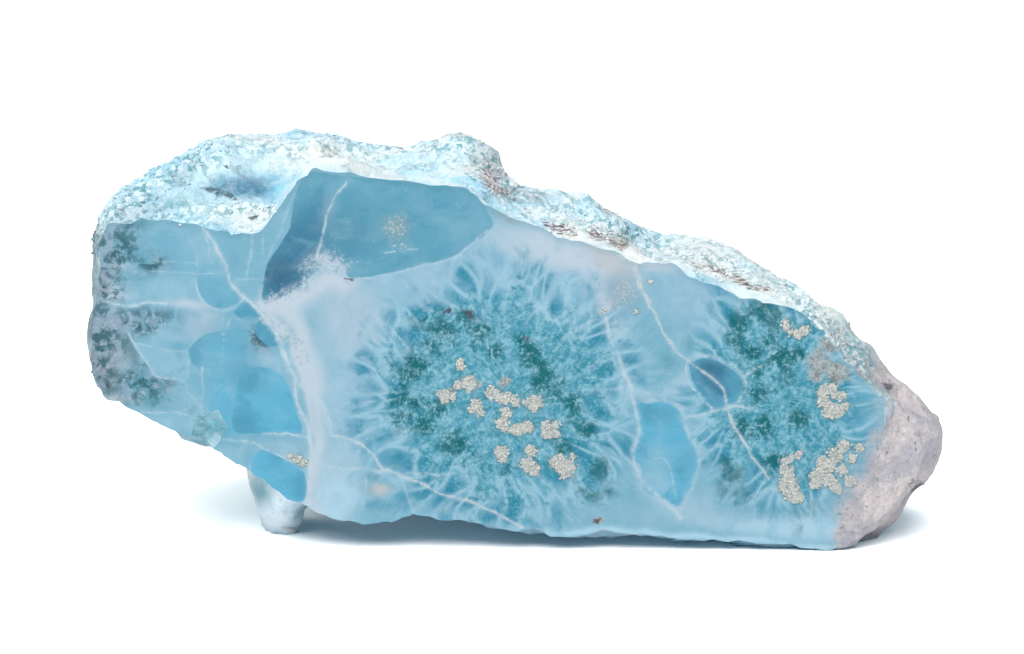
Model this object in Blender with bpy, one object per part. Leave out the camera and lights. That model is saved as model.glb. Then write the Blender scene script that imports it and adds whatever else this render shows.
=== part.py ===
"""Rough larimar: one broken lump of blue pectolite with a sawn front face.

The stone rests on flat spots of its underside at z = 0, with its length along X.
The sawn face looks along -Y. The origin is the bottom centre of the stone's box.
Sizes in the tables are millimetres; the mesh is made in metres.
"""

import itertools
import math

import bmesh
import bpy
import numpy as np
from mathutils import Vector, geometry, kdtree, noise

MM = 0.001

# Driving dimensions, in millimetres
LENGTH = 87.4
DEPTH = 34.5
HEIGHT = 40.6

# Fineness, in millimetres, and the count of facets on the broken skin
RIM_STEP = 1.0
FACE_STEP = 2.1
VOXEL = 0.55
SKIN_FACETS = 7200
RING_DEPTHS = [0.7, 1.8, 3.4, 5.2, 7.4, 9.8, 12.2, 14.6, 17.2, 19.8, 22.4, 24.8, 27.0, 29.0, 30.8, 32.0]
BACK_RINGS = [(0.86, 0.7), (0.68, 1.3), (0.48, 1.7), (0.26, 1.9)]
SAW_ALLOWANCE = 3.0
SHORTEST_EDGE = 0.06
FILL_CLEARANCE = 0.6
FILL_TOLERANCE = 1e-6
CUT_TOLERANCE = 1e-4

# The broken skin, in millimetres: flat fracture facets, hollows where flakes came away, then lumps
FACETS = [(11.0, 10.0, 0.45, 0.50), (6.0, 6.0, 0.30, 0.60), (3.4, 3.4, 0.12, 0.65)]
FACET_SEARCH = 0.5
FACET_AVERAGE = 0.5
FACET_SOFT_EDGE = 0.4
FACET_FRONT = 1.0
LEAN_SIZE = 2.0
LEAN_SHIFTS = [Vector((9.3, -1.5, -7.9)), Vector((-6.2, 4.4, 1.7)), Vector((2.6, 8.1, -3.4))]
SPARED = [((-24.6, 12.5, 0.0), 5.0), ((-5.0, 20.0, 39.5), 3.0), ((43.0, 11.0, 9.0), 4.0)]
HOLLOWS = [
    ((-25.4, 8.0, 45.8), 9.4),
    ((13.0, 24.0, 40.6), 9.6),
    ((-6.0, 44.5, 21.0), 13.0),
    ((21.0, 42.0, 9.0), 11.0),
    ((-54.0, 18.0, 24.0), 12.0),
]
HOLLOW_WARP = 0.09
HOLLOW_WARP_SIZE = 2.5
LUMPS = [(8.0, 0.40), (2.6, 0.30), (1.3, 0.18)]
RIM_FADE = 2.2
KNOB_RELIEF = 0.9

# Outline of the sawn face, clockwise from its upper left corner. Each row starts
# at a landmark, which the sections below repeat, and goes on to the next one.
FACE_OUTLINE = [
    [(-40.9, 33.5), (-39.2, 33.5), (-37.5, 34.1)],
    [(-35.4, 34.0), (-33.3, 33.8), (-31.7, 33.1), (-29.6, 32.9), (-27.9, 32.7)],
    [(-26.2, 32.4), (-25.1, 33.3), (-23.5, 35.7), (-22.0, 37.7), (-20.9, 38.8)],
    [(-19.7, 39.0), (-17.8, 38.7), (-15.8, 38.2), (-12.0, 38.0)],
    [(-9.3, 37.6), (-6.3, 37.4)],
    [(-4.7, 37.2), (-4.0, 36.3), (-2.8, 35.5), (-1.7, 34.7)],
    [(-0.5, 34.1), (1.5, 33.7), (3.0, 32.9)],
    [(4.6, 32.1), (6.5, 31.7), (8.4, 31.1), (9.8, 30.7), (10.9, 30.0), (12.3, 29.1), (13.0, 29.3)],
    [(14.2, 29.8), (15.5, 29.9), (16.5, 29.0), (18.0, 28.0)],
    [(19.1, 27.5), (21.1, 26.7), (22.6, 26.0), (24.5, 25.5), (26.1, 25.3)],
    [(27.6, 25.0), (28.7, 24.4), (29.5, 23.4)],
    [(31.0, 22.5), (31.8, 21.3), (32.9, 19.5), (34.1, 18.4), (36.3, 16.6)],
    [(38.5, 14.9), (40.3, 14.6), (41.6, 13.3)],
    [(42.4, 12.0), (42.8, 10.2)],
    [(42.4, 8.4), (41.1, 7.9), (40.5, 6.6), (39.4, 5.7), (38.8, 3.7), (37.3, 2.5)],
    [(35.2, 1.2), (33.2, 0.5)],
    [(31.4, 0.3), (29.1, 0.7), (26.5, 1.0), (23.7, 1.3), (20.9, 1.2)],
    [(17.1, 1.3), (15.8, 1.6), (13.5, 2.0), (13.0, 1.8), (10.2, 2.2), (8.4, 2.3), (6.9, 1.8)],
    [(5.7, 1.4), (3.8, 1.7), (2.4, 2.3), (1.5, 2.5), (1.1, 2.2), (0.3, 2.0), (-0.9, 2.3), (-2.4, 2.7)],
    [(-5.5, 3.1), (-6.6, 3.4), (-8.5, 3.3), (-9.4, 3.8), (-10.3, 4.0), (-11.1, 3.7), (-11.7, 3.2), (-14.2, 3.1)],
    [(-17.0, 2.9), (-18.7, 3.3), (-20.1, 3.9)],
    [(-20.8, 4.6), (-21.7, 4.7), (-22.9, 5.0), (-24.0, 5.9), (-25.4, 7.0), (-26.6, 8.0)],
    [(-27.9, 9.2), (-29.5, 9.4), (-30.4, 10.5), (-31.0, 11.7), (-32.1, 12.3)],
    [(-33.6, 12.0), (-34.8, 12.5), (-36.2, 13.1), (-37.7, 13.9), (-39.0, 14.8), (-40.3, 15.4)],
    [(-41.9, 16.1), (-42.6, 17.8)],
    [(-42.8, 18.9), (-42.8, 21.1), (-42.8, 22.6), (-42.6, 24.6), (-42.3, 26.4)],
    [(-41.7, 29.5), (-42.1, 31.3), (-42.0, 32.4)],
]

# Sections through the stone behind the face: depth, then the landmarks in the same order
SECTIONS = [
    (5.0, [
        (-41.4, 34.2), (-35.6, 35.4), (-26.6, 34.8), (-19.6, 39.5), (-9.3, 38.1), (-4.4, 38.0), (0.0, 34.9),
        (5.0, 33.3), (14.6, 29.9), (19.6, 28.4), (28.4, 25.8), (32.8, 23.0), (39.4, 15.6), (42.9, 12.0),
        (42.5, 7.4), (36.4, 0.6), (31.6, -1.6), (17.2, 0.7), (5.7, 1.1), (-5.5, 2.9), (-17.6, 3.4),
        (-21.6, 4.4), (-28.2, 9.0), (-34.0, 11.6), (-41.6, 15.6), (-42.4, 18.9), (-42.0, 29.5),
    ]),
    (12.0, [
        (-41.4, 33.4), (-37.0, 36.6), (-29.6, 39.2), (-20.5, 40.1), (-9.8, 38.2), (-4.6, 39.0), (0.0, 35.3),
        (5.4, 34.1), (14.6, 29.4), (20.2, 28.8), (29.0, 25.6), (34.0, 21.8), (40.2, 13.2), (43.4, 10.0),
        (42.4, 5.9), (37.2, -0.2), (31.5, -2.0), (17.3, 1.2), (5.7, 1.5), (-5.7, 2.2), (-23.8, 6.2),
        (-25.1, -2.2), (-27.8, 6.4), (-34.5, 11.2), (-41.6, 15.2), (-42.8, 19.0), (-42.6, 29.0),
    ]),
    (20.0, [
        (-41.2, 31.6), (-37.1, 35.6), (-31.4, 40.6), (-21.0, 40.3), (-10.2, 39.0), (-5.4, 39.8), (0.1, 36.0),
        (5.8, 34.8), (14.6, 29.6), (20.8, 28.6), (29.2, 24.4), (34.0, 20.4), (39.4, 12.4), (41.6, 9.2),
        (40.8, 5.8), (36.5, 1.0), (31.2, 0.2), (17.4, 0.6), (5.7, 0.8), (-5.9, 0.8), (-17.5, 3.4),
        (-25.0, 5.4), (-29.5, 8.2), (-35.0, 11.6), (-41.2, 15.9), (-42.6, 19.8), (-42.6, 27.6),
    ]),
    (27.0, [
        (-39.2, 29.0), (-35.6, 33.0), (-30.4, 37.6), (-21.6, 38.3), (-10.6, 37.6), (-6.2, 37.4), (-0.4, 34.6),
        (6.0, 32.6), (14.0, 29.2), (21.6, 25.5), (28.4, 21.3), (32.4, 17.5), (36.0, 10.8), (37.6, 8.4),
        (36.6, 5.2), (33.4, 0.6), (28.8, -1.2), (17.2, -1.2), (5.8, -1.2), (-5.8, -1.2), (-16.6, -0.4),
        (-24.0, 3.0), (-29.6, 8.0), (-34.0, 12.6), (-38.0, 17.0), (-39.4, 20.6), (-39.8, 26.0),
    ]),
    (32.0, [
        (-34.6, 26.6), (-32.0, 30.0), (-27.6, 33.6), (-20.6, 34.6), (-10.4, 33.8), (-6.0, 34.6), (-0.4, 31.8),
        (5.8, 29.8), (12.4, 26.8), (19.4, 22.6), (24.6, 18.6), (27.6, 15.6), (30.0, 10.6), (31.0, 8.6),
        (30.0, 6.2), (27.6, 3.2), (24.4, 2.4), (15.6, 1.8), (5.4, 2.0), (-5.0, 2.4), (-14.4, 3.4),
        (-20.6, 6.4), (-25.6, 10.4), (-29.6, 14.4), (-32.6, 18.0), (-34.2, 20.8), (-35.0, 24.0),
    ]),
]

# The knob of pale matrix at the right end, which the saw missed: the face rolls back past this line,
# which leans, and is given at one height
KNOB_START = 34.0
KNOB_START_HEIGHT = 12.0
KNOB_LEAN = 0.28
KNOB_BLEND = 4.0
KNOB_ROLL = 0.055
KNOB_SETBACK = 0.3
KNOB_LUMP_SIZE = 3.3
KNOB_FOLLOW = 12.0


def curve_through(a, b, c, d, t):
    """Point at t between b and c on a smooth curve through four points."""
    return 0.5 * (2 * b + (c - a) * t + (2 * a - 5 * b + 4 * c - d) * t ** 2 + (3 * b - a - 3 * c + d) * t ** 3)


def rim_stations():
    """Rows of (landmark, share of the way to the next, point on the outline)."""
    stations = []
    for index, row in enumerate(FACE_OUTLINE):
        after = FACE_OUTLINE[(index + 1) % len(FACE_OUTLINE)][0]
        points = [Vector(p) for p in row] + [Vector(after)]
        steps = [(q - p).length for p, q in zip(points, points[1:])]
        travelled = 0.0
        for p, q, step in zip(points, points[1:], steps):
            pieces = max(1, round(step / RIM_STEP))
            for piece in range(pieces):
                share = piece / pieces
                stations.append((index, (travelled + share * step) / sum(steps), p.lerp(q, share)))
            travelled += step
    return stations


def smooth_section(landmarks, index, share):
    count = len(landmarks)
    around = [Vector(landmarks[(index + k) % count]) for k in (-1, 0, 1, 2)]
    return curve_through(*around, share)


def section_point(index, share, depth):
    """Point of the smooth form at a depth behind the face, before the outline's own nicks."""
    front = [row[0] for row in FACE_OUTLINE]
    tables = [(0.0, front)] + SECTIONS
    depths = [d for d, _ in tables]
    place = max(i for i, d in enumerate(depths) if d <= depth)
    place = min(place, len(tables) - 2)
    t = (depth - depths[place]) / (depths[place + 1] - depths[place])
    picks = [max(0, min(len(tables) - 1, place + k)) for k in (-1, 0, 1, 2)]
    around = [smooth_section(tables[i][1], index, share) for i in picks]
    return curve_through(*around, t)


def knob_share(x, z):
    """1 on the knob, 0 on the sawn face. The line between them leans to the left going down."""
    line = KNOB_START + KNOB_LEAN * (z - KNOB_START_HEIGHT)
    share = max(0.0, min(1.0, (x - line) / KNOB_BLEND))
    return share * share * (3 - 2 * share)


def front_depth(x, z):
    """Where the uncut front lies: ahead of the saw's plane, and behind it on the knob."""
    roll = KNOB_ROLL * max(0.0, x - KNOB_START) ** 2
    knob = roll + KNOB_RELIEF * noise.noise(Vector((x, 0, z)) / KNOB_LUMP_SIZE) + KNOB_SETBACK
    return -SAW_ALLOWANCE + knob_share(x, z) * (knob + SAW_ALLOWANCE)


def add_rings(bm, stations):
    """Vertices of the rim and of every ring behind it, one list for each ring."""
    rings = [[bm.verts.new((p.x, front_depth(p.x, p.y), p.y)) for _, _, p in stations]]
    for depth in RING_DEPTHS:
        ring = []
        for index, share, rim in stations:
            smooth = section_point(index, share, depth)
            nick = (rim - section_point(index, share, 0.0)) * math.exp(-depth / RIM_FADE)
            place = smooth + nick
            back = depth + max(0.0, front_depth(rim.x, rim.y)) * max(0.0, 1.0 - depth / KNOB_FOLLOW)
            ring.append(bm.verts.new((place.x, back, place.y)))
        rings.append(ring)
    last = rings[-1]
    centre = sum((v.co for v in last), Vector()) / len(last)
    for scale, further in BACK_RINGS:
        ring = []
        for vert in last:
            place = centre + (vert.co - centre) * scale
            place.y = vert.co.y + further
            ring.append(bm.verts.new(place))
        rings.append(ring)
    return rings


def join_rings(bm, rings):
    for near, far in zip(rings, rings[1:]):
        for i in range(len(near)):
            j = (i + 1) % len(near)
            bm.faces.new((near[i], near[j], far[j], far[i]))
    bm.faces.new(rings[-1])


def inside(point, loop):
    """Whether a point lies inside the outline, by the crossings of a ray."""
    crossings = 0
    for a, b in zip(loop, loop[1:] + loop[:1]):
        if (a.y > point.y) != (b.y > point.y):
            crossings += point.x < a.x + (point.y - a.y) / (b.y - a.y) * (b.x - a.x)
    return crossings % 2 == 1


def rim_distance(point, loop):
    nearest = 1e9
    for a, b in zip(loop, loop[1:] + loop[:1]):
        foot, share = geometry.intersect_point_line(point, a, b)
        foot = a if share < 0 else b if share > 1 else foot.to_2d()
        nearest = min(nearest, (point - foot).length)
    return nearest


def fill_flat(bm, rim, across, up, depth_at):
    """Closes a flat opening with evenly spaced facets. across and up are the axes of its plane."""
    loop = [Vector((v.co[across], v.co[up])) for v in rim]
    low = Vector((min(p.x for p in loop), min(p.y for p in loop)))
    high = Vector((max(p.x for p in loop), max(p.y for p in loop)))
    points = list(loop)
    row_step = FACE_STEP * math.sqrt(3) / 2
    for row in range(1, math.ceil((high.y - low.y) / row_step)):
        for column in range(math.ceil((high.x - low.x) / FACE_STEP) + 1):
            point = low + Vector(((column + 0.5 * (row % 2)) * FACE_STEP, row * row_step))
            if inside(point, loop) and rim_distance(point, loop) > FILL_CLEARANCE * FACE_STEP:
                points.append(point)
    edges = [(i, (i + 1) % len(loop)) for i in range(len(loop))]
    places, _, faces, _, _, _ = geometry.delaunay_2d_cdt(points, edges, [], 1, FILL_TOLERANCE)
    verts = list(rim)
    for place in places[len(loop):]:
        co = Vector((0, 0, 0))
        co[across], co[up] = place
        co[3 - across - up] = depth_at(place)
        verts.append(bm.verts.new(co))
    for face in faces:
        bm.faces.new([verts[i] for i in face])


def smooth_form():
    bm = bmesh.new()
    rings = add_rings(bm, rim_stations())
    join_rings(bm, rings)
    fill_flat(bm, rings[0], 0, 2, lambda p: front_depth(p.x, p.y))
    bmesh.ops.triangulate(bm, faces=bm.faces)
    bmesh.ops.recalc_face_normals(bm, faces=bm.faces)
    mesh = bpy.data.meshes.new("smooth_form")
    bm.to_mesh(mesh)
    bm.free()
    return mesh


def through_modifier(mesh, kind, **settings):
    """The mesh as one modifier leaves it."""
    holder = bpy.data.objects.new("holder", mesh)
    bpy.context.scene.collection.objects.link(holder)
    modifier = holder.modifiers.new(kind, kind)
    for name, value in settings.items():
        setattr(modifier, name, value)
    bpy.context.view_layer.update()
    done = bpy.data.meshes.new_from_object(holder.evaluated_get(bpy.context.evaluated_depsgraph_get()))
    bpy.data.objects.remove(holder)
    return done


def in_order(mesh):
    """The same mesh with its vertices and faces sorted by place."""
    places = [tuple(round(c, 4) for c in v.co) for v in mesh.vertices]
    order = sorted(range(len(places)), key=places.__getitem__)
    rank = {old: new for new, old in enumerate(order)}
    faces = []
    for polygon in mesh.polygons:
        corners = [rank[v] for v in polygon.vertices]
        start = corners.index(min(corners))
        faces.append(corners[start:] + corners[:start])
    done = bpy.data.meshes.new("in_order")
    done.from_pydata([mesh.vertices[old].co for old in order], [], sorted(faces))
    return done


def drift(place):
    """A steady random vector for a place, each part between about -0.5 and 0.5."""
    return np.array([noise.noise(place + shift) for shift in LEAN_SHIFTS])


def facet_planes(points, normals, spacing, reach, lean):
    """A point and a leaning normal for each flat fracture facet, spread evenly over the skin."""
    low, high = points.min(axis=0), points.max(axis=0)
    tree = kdtree.KDTree(len(points))
    for i, point in enumerate(points):
        tree.insert(point, i)
    tree.balance()
    planes = []
    for cell in itertools.product(*[range(math.ceil(side / spacing)) for side in high - low]):
        place = low + (np.array(cell) + 0.5) * spacing
        place += drift(Vector(place)) * spacing
        at, _, far = tree.find(place)
        if far < FACET_SEARCH * spacing and at.y > FACET_FRONT:
            around = [i for _, i, _ in tree.find_range(at, FACET_AVERAGE * reach)]
            normal = normals[around].mean(axis=0)
            normal = normal / np.linalg.norm(normal) + drift(Vector(place) / LEAN_SIZE) * lean
            planes.append((np.array(at), normal / np.linalg.norm(normal)))
    return planes


def chisel(points, normals):
    """Planes off what stands above each facet, less and less towards the facet's reach."""
    spared = np.ones(len(points))
    for centre, radius in SPARED:
        spared = np.minimum(spared, np.clip(np.linalg.norm(points - centre, axis=1) / radius - 1.0, 0.0, 1.0))
    cut = points.copy()
    for spacing, reach, sink, lean in FACETS:
        for at, normal in facet_planes(cut, normals, spacing, reach, lean):
            above = np.maximum((cut - at) @ normal + sink, 0.0) * spared
            depth_in = reach - np.linalg.norm(points - at, axis=1)
            near = np.clip(depth_in / (FACET_SOFT_EDGE * reach), 0.0, 1.0)
            cut -= np.outer(above * near * near * (3 - 2 * near), normal)
    return cut


def hollow(points):
    """Pushes what lies inside each uneven round hollow out to its surface."""
    for centre, radius in HOLLOWS:
        away = points - np.array(centre)
        far = np.linalg.norm(away, axis=1)
        for i in np.flatnonzero(far < radius * (1 + HOLLOW_WARP)):
            uneven = radius * (1 + HOLLOW_WARP * noise.noise(Vector(points[i]) / HOLLOW_WARP_SIZE))
            if far[i] < uneven:
                points[i] = np.array(centre) + away[i] * uneven / far[i]
    return points


def break_skin(mesh):
    """Turns the smooth form into broken stone, except at the rim of the sawn face."""
    count = len(mesh.vertices)
    points, normals = np.empty(count * 3, np.float32), np.empty(count * 3, np.float32)
    mesh.vertices.foreach_get("co", points)
    mesh.vertices.foreach_get("normal", normals)
    points, normals = points.reshape(-1, 3).astype(float), normals.reshape(-1, 3).astype(float)
    broken = chisel(points, normals)
    swell = ((points - broken) * normals).sum(axis=1).mean()
    broken = hollow(broken + normals * swell)
    for i, point in enumerate(broken):
        raised = sum(height * noise.noise(Vector(point) / size) for size, height in LUMPS)
        broken[i] = point + normals[i] * raised
    fade = np.clip(points[:, 1] / RIM_FADE, 0.0, 1.0)[:, None]
    mesh.vertices.foreach_set("co", (points + (broken - points) * fade).astype(np.float32).ravel())
    mesh.update()


def cut_flat(bm, at, normal, across, up):
    """Cuts away what lies past a plane and closes each opening."""
    cut = bmesh.ops.bisect_plane(
        bm, geom=bm.verts[:] + bm.edges[:] + bm.faces[:], dist=CUT_TOLERANCE,
        plane_co=at, plane_no=normal, clear_outer=True,
    )
    open_edges = {e for e in cut["geom_cut"] if isinstance(e, bmesh.types.BMEdge) and e.is_boundary}
    while open_edges:
        edge = open_edges.pop()
        loop = [edge.verts[0], edge.verts[1]]
        while loop[-1] is not loop[0]:
            step = next(e for e in loop[-1].link_edges if e in open_edges)
            open_edges.remove(step)
            loop.append(step.other_vert(loop[-1]))
        fill_flat(bm, loop[:-1], across, up, lambda p: at[3 - across - up])


def drop_crumbs(bm):
    """Keeps the largest connected piece."""
    left = set(bm.verts)
    pieces = []
    while left:
        piece, edge_of_piece = set(), [next(iter(left))]
        while edge_of_piece:
            vert = edge_of_piece.pop()
            if vert not in piece:
                piece.add(vert)
                edge_of_piece += [edge.other_vert(vert) for edge in vert.link_edges]
        left -= piece
        pieces.append(piece)
    pieces.sort(key=len)
    bmesh.ops.delete(bm, geom=[vert for piece in pieces[:-1] for vert in piece])


def size_up(bm):
    """Brings the stone to its driving dimensions, standing on z = 0 around the origin."""
    low = Vector([min(v.co[k] for v in bm.verts) for k in range(3)])
    high = Vector([max(v.co[k] for v in bm.verts) for k in range(3)])
    bottom = Vector(((low.x + high.x) / 2, (low.y + high.y) / 2, low.z))
    sides = [side / (high - low)[k] for k, side in enumerate((LENGTH, DEPTH, HEIGHT))]
    for vert in bm.verts:
        vert.co = Vector([(vert.co - bottom)[k] * sides[k] * MM for k in range(3)])


def larimar_material():
    material = bpy.data.materials.new("larimar")
    material.use_nodes = True
    shader = material.node_tree.nodes["Principled BSDF"]
    shader.inputs["Base Color"].default_value = (0.30, 0.60, 0.72, 1.0)
    shader.inputs["Roughness"].default_value = 0.45
    shader.inputs["Metallic"].default_value = 0.0
    return material


def build_stone():
    form = in_order(through_modifier(smooth_form(), "REMESH", mode="VOXEL", voxel_size=VOXEL))
    break_skin(form)
    facets = sum(len(p.vertices) - 2 for p in form.polygons)
    skin = through_modifier(form, "DECIMATE", ratio=SKIN_FACETS / facets)
    bm = bmesh.new()
    bm.from_mesh(skin)
    bmesh.ops.triangulate(bm, faces=bm.faces)
    cut_flat(bm, Vector((0, 0, 0)), Vector((0, -1, 0)), 0, 2)
    cut_flat(bm, Vector((0, 0, 0)), Vector((0, 0, -1)), 0, 1)
    drop_crumbs(bm)
    bmesh.ops.dissolve_degenerate(bm, edges=bm.edges, dist=SHORTEST_EDGE)
    bmesh.ops.triangulate(bm, faces=bm.faces)
    bmesh.ops.recalc_face_normals(bm, faces=bm.faces)
    size_up(bm)
    mesh = bpy.data.meshes.new("larimar_stone")
    bm.to_mesh(mesh)
    bm.free()
    mesh.materials.append(larimar_material())
    stone = bpy.data.objects.new("larimar_stone", mesh)
    bpy.context.scene.collection.objects.link(stone)


for old in list(bpy.data.objects):
    bpy.data.objects.remove(old)
build_stone()
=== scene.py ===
import math

import bmesh
import bpy
import numpy as np
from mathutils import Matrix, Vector, geometry, noise


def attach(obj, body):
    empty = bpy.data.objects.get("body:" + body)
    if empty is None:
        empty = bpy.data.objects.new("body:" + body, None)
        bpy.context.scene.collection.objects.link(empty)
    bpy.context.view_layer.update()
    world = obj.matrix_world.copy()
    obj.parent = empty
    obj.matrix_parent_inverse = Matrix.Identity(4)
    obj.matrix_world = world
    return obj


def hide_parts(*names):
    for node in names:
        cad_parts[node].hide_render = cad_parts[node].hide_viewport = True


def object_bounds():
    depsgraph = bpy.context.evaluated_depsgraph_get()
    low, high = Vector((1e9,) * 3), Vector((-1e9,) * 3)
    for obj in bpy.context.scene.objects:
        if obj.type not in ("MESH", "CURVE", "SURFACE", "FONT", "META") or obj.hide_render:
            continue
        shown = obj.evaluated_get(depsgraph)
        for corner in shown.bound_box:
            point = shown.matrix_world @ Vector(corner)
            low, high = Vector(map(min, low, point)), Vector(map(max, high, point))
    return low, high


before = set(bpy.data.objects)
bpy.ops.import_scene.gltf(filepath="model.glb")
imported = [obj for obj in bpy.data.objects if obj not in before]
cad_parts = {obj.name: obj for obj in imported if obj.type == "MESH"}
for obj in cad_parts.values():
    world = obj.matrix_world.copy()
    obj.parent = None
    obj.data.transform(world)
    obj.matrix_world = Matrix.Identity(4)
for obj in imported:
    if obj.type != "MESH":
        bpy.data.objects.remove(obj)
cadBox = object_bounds()
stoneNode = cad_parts["larimar_stone"]

mm = 0.001
pictureWidth = 1024
pictureHeight = 654
pixelsPerMillimetre = 10  # on the sawn face

# the camera looks squarely at the sawn face, a little from above
look = {
    "target": (-0.55 * mm, -17.25 * mm, 22.9 * mm),
    "elevation": 9.0,
    "distance": 400.0 * mm,
    "lens": 140.6,
    "sensor": 36.0,
}

# linear colours of the stone, from milky to deep
tones = {
    "snow": (0.53, 0.59, 0.61),
    "lilac": (0.55, 0.63, 0.72),
    "rose": (0.47, 0.57, 0.67),
    "sand": (0.55, 0.54, 0.55),
    "ice": (0.40, 0.58, 0.70),
    "milk": (0.35, 0.54, 0.68),
    "pale": (0.27, 0.50, 0.63),
    "sky": (0.20, 0.44, 0.57),
    "clear": (0.155, 0.41, 0.56),
    "azure": (0.12, 0.44, 0.63),
    "pool": (0.12, 0.355, 0.485),
    "deep": (0.09, 0.33, 0.48),
    "steel": (0.045, 0.19, 0.31),
    "abyss": (0.022, 0.125, 0.225),
    "lagoon": (0.085, 0.29, 0.37),
    "teal": (0.022, 0.155, 0.195),
    "sea": (0.10, 0.31, 0.34),
    "smoke": (0.27, 0.36, 0.45),
    "moss": (0.11, 0.19, 0.20),
    "ash": (0.27, 0.28, 0.31),
    "mauve": (0.30, 0.22, 0.22),
    "peach": (0.62, 0.47, 0.38),
    "khaki": (0.34, 0.34, 0.29),
    "ink": (0.03, 0.05, 0.07),
    "chalk": (0.80, 0.77, 0.71),
    "frost": (0.54, 0.62, 0.70),
    "chip": (0.05, 0.18, 0.235),
    # painted light: the foot tone is brighter than the stone's own pale blue-white
    "foot": (0.78, 0.90, 1.0),
    # painted light: a bright blue for the lower edge of the cut
    "glow": (0.46, 0.68, 0.82),
}
# the tones are what a bright studio makes of the stone; its own colour is deeper
stoneDepth = (0.33, 0.34, 0.345)
crustDepth = (0.72, 0.71, 0.70)


# Where things are in the picture

def lookBasis():
    lift = math.radians(look["elevation"])
    forward = np.array((0.0, math.cos(lift), -math.sin(lift)))
    upward = np.array((0.0, math.sin(lift), math.cos(lift)))
    focal = look["lens"] / look["sensor"] * pictureWidth
    return np.array(look["target"]) - forward * look["distance"], forward, upward, focal


def inPicture(points):
    eye, forward, upward, focal = lookBasis()
    away = points - eye
    depth = away @ forward
    across = pictureWidth / 2 + focal * away[:, 0] / depth
    down = pictureHeight / 2 - focal * (away @ upward) / depth
    return np.stack((across, down), axis=1)


# picture points set down on the sawn plane, as x and z
def onCut(points):
    eye, forward, upward, focal = lookBasis()
    points = np.asarray(points, float)
    right = np.array((1.0, 0.0, 0.0))
    ray = forward + np.outer((points[:, 0] - pictureWidth / 2) / focal, right)
    ray = ray - np.outer((points[:, 1] - pictureHeight / 2) / focal, upward)
    reach = (look["target"][1] - eye[1]) / ray[:, 1]
    return (eye + ray * reach[:, None])[:, [0, 2]]


# a smooth line through given points
def curveThrough(points, spacing=3.0):
    points = np.asarray(points, float)
    padded = np.vstack((2 * points[0] - points[1], points, 2 * points[-1] - points[-2]))
    line = []
    for k in range(len(points) - 1):
        a, b, c, d = padded[k:k + 4]
        steps = max(1, int(np.linalg.norm(c - b) / spacing))
        for t in np.arange(steps) / steps:
            line.append(0.5 * (2 * b + (c - a) * t + (2 * a - 5 * b + 4 * c - d) * t ** 2
                               + (3 * b - a - 3 * c + d) * t ** 3))
    line.append(points[-1])
    return np.array(line)


def segmentDistance(where, start, end):
    span = end - start
    share = np.clip(((where - start) @ span) / max(float(span @ span), 1e-12), 0, 1)
    gap = where - start - share[:, None] * span
    return np.hypot(gap[:, 0], gap[:, 1])


def lineDistance(where, line):
    nearest = np.full(len(where), 1e9)
    for start, end in zip(line[:-1], line[1:]):
        nearest = np.minimum(nearest, segmentDistance(where, start, end))
    return nearest


# positive inside a closed outline
def insideDistance(where, outline):
    outline = np.asarray(outline, float)
    nearest = np.full(len(where), 1e9)
    within = np.zeros(len(where), bool)
    for start, end in zip(outline, np.roll(outline, -1, axis=0)):
        nearest = np.minimum(nearest, segmentDistance(where, start, end))
        if start[1] != end[1]:
            crossing = (start[1] > where[:, 1]) != (end[1] > where[:, 1])
            side = (end[0] - start[0]) * (where[:, 1] - start[1]) / (end[1] - start[1]) + start[0]
            within ^= crossing & (where[:, 0] < side)
    return np.where(within, nearest, -nearest)


def softStep(value, low, high):
    share = np.clip((value - low) / (high - low), 0, 1)
    return share * share * (3 - 2 * share)


def softSpot(where, x, y, reachX, reachY, turn=0.0):
    angle = math.radians(turn)
    dx = where[:, 0] - x
    dy = where[:, 1] - y
    along = (dx * math.cos(angle) + dy * math.sin(angle)) / reachX
    across = (dy * math.cos(angle) - dx * math.sin(angle)) / reachY
    return np.exp(-(along ** 2 + across ** 2) ** 1.4)


def drift(points, size, seed):
    shift = Vector((seed * 7.3, seed * 3.1, seed * 5.7))
    return np.array([noise.noise(Vector(p) / size + shift) for p in points])


# The veins, windows and markings of the sawn face, in picture pixels

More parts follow.
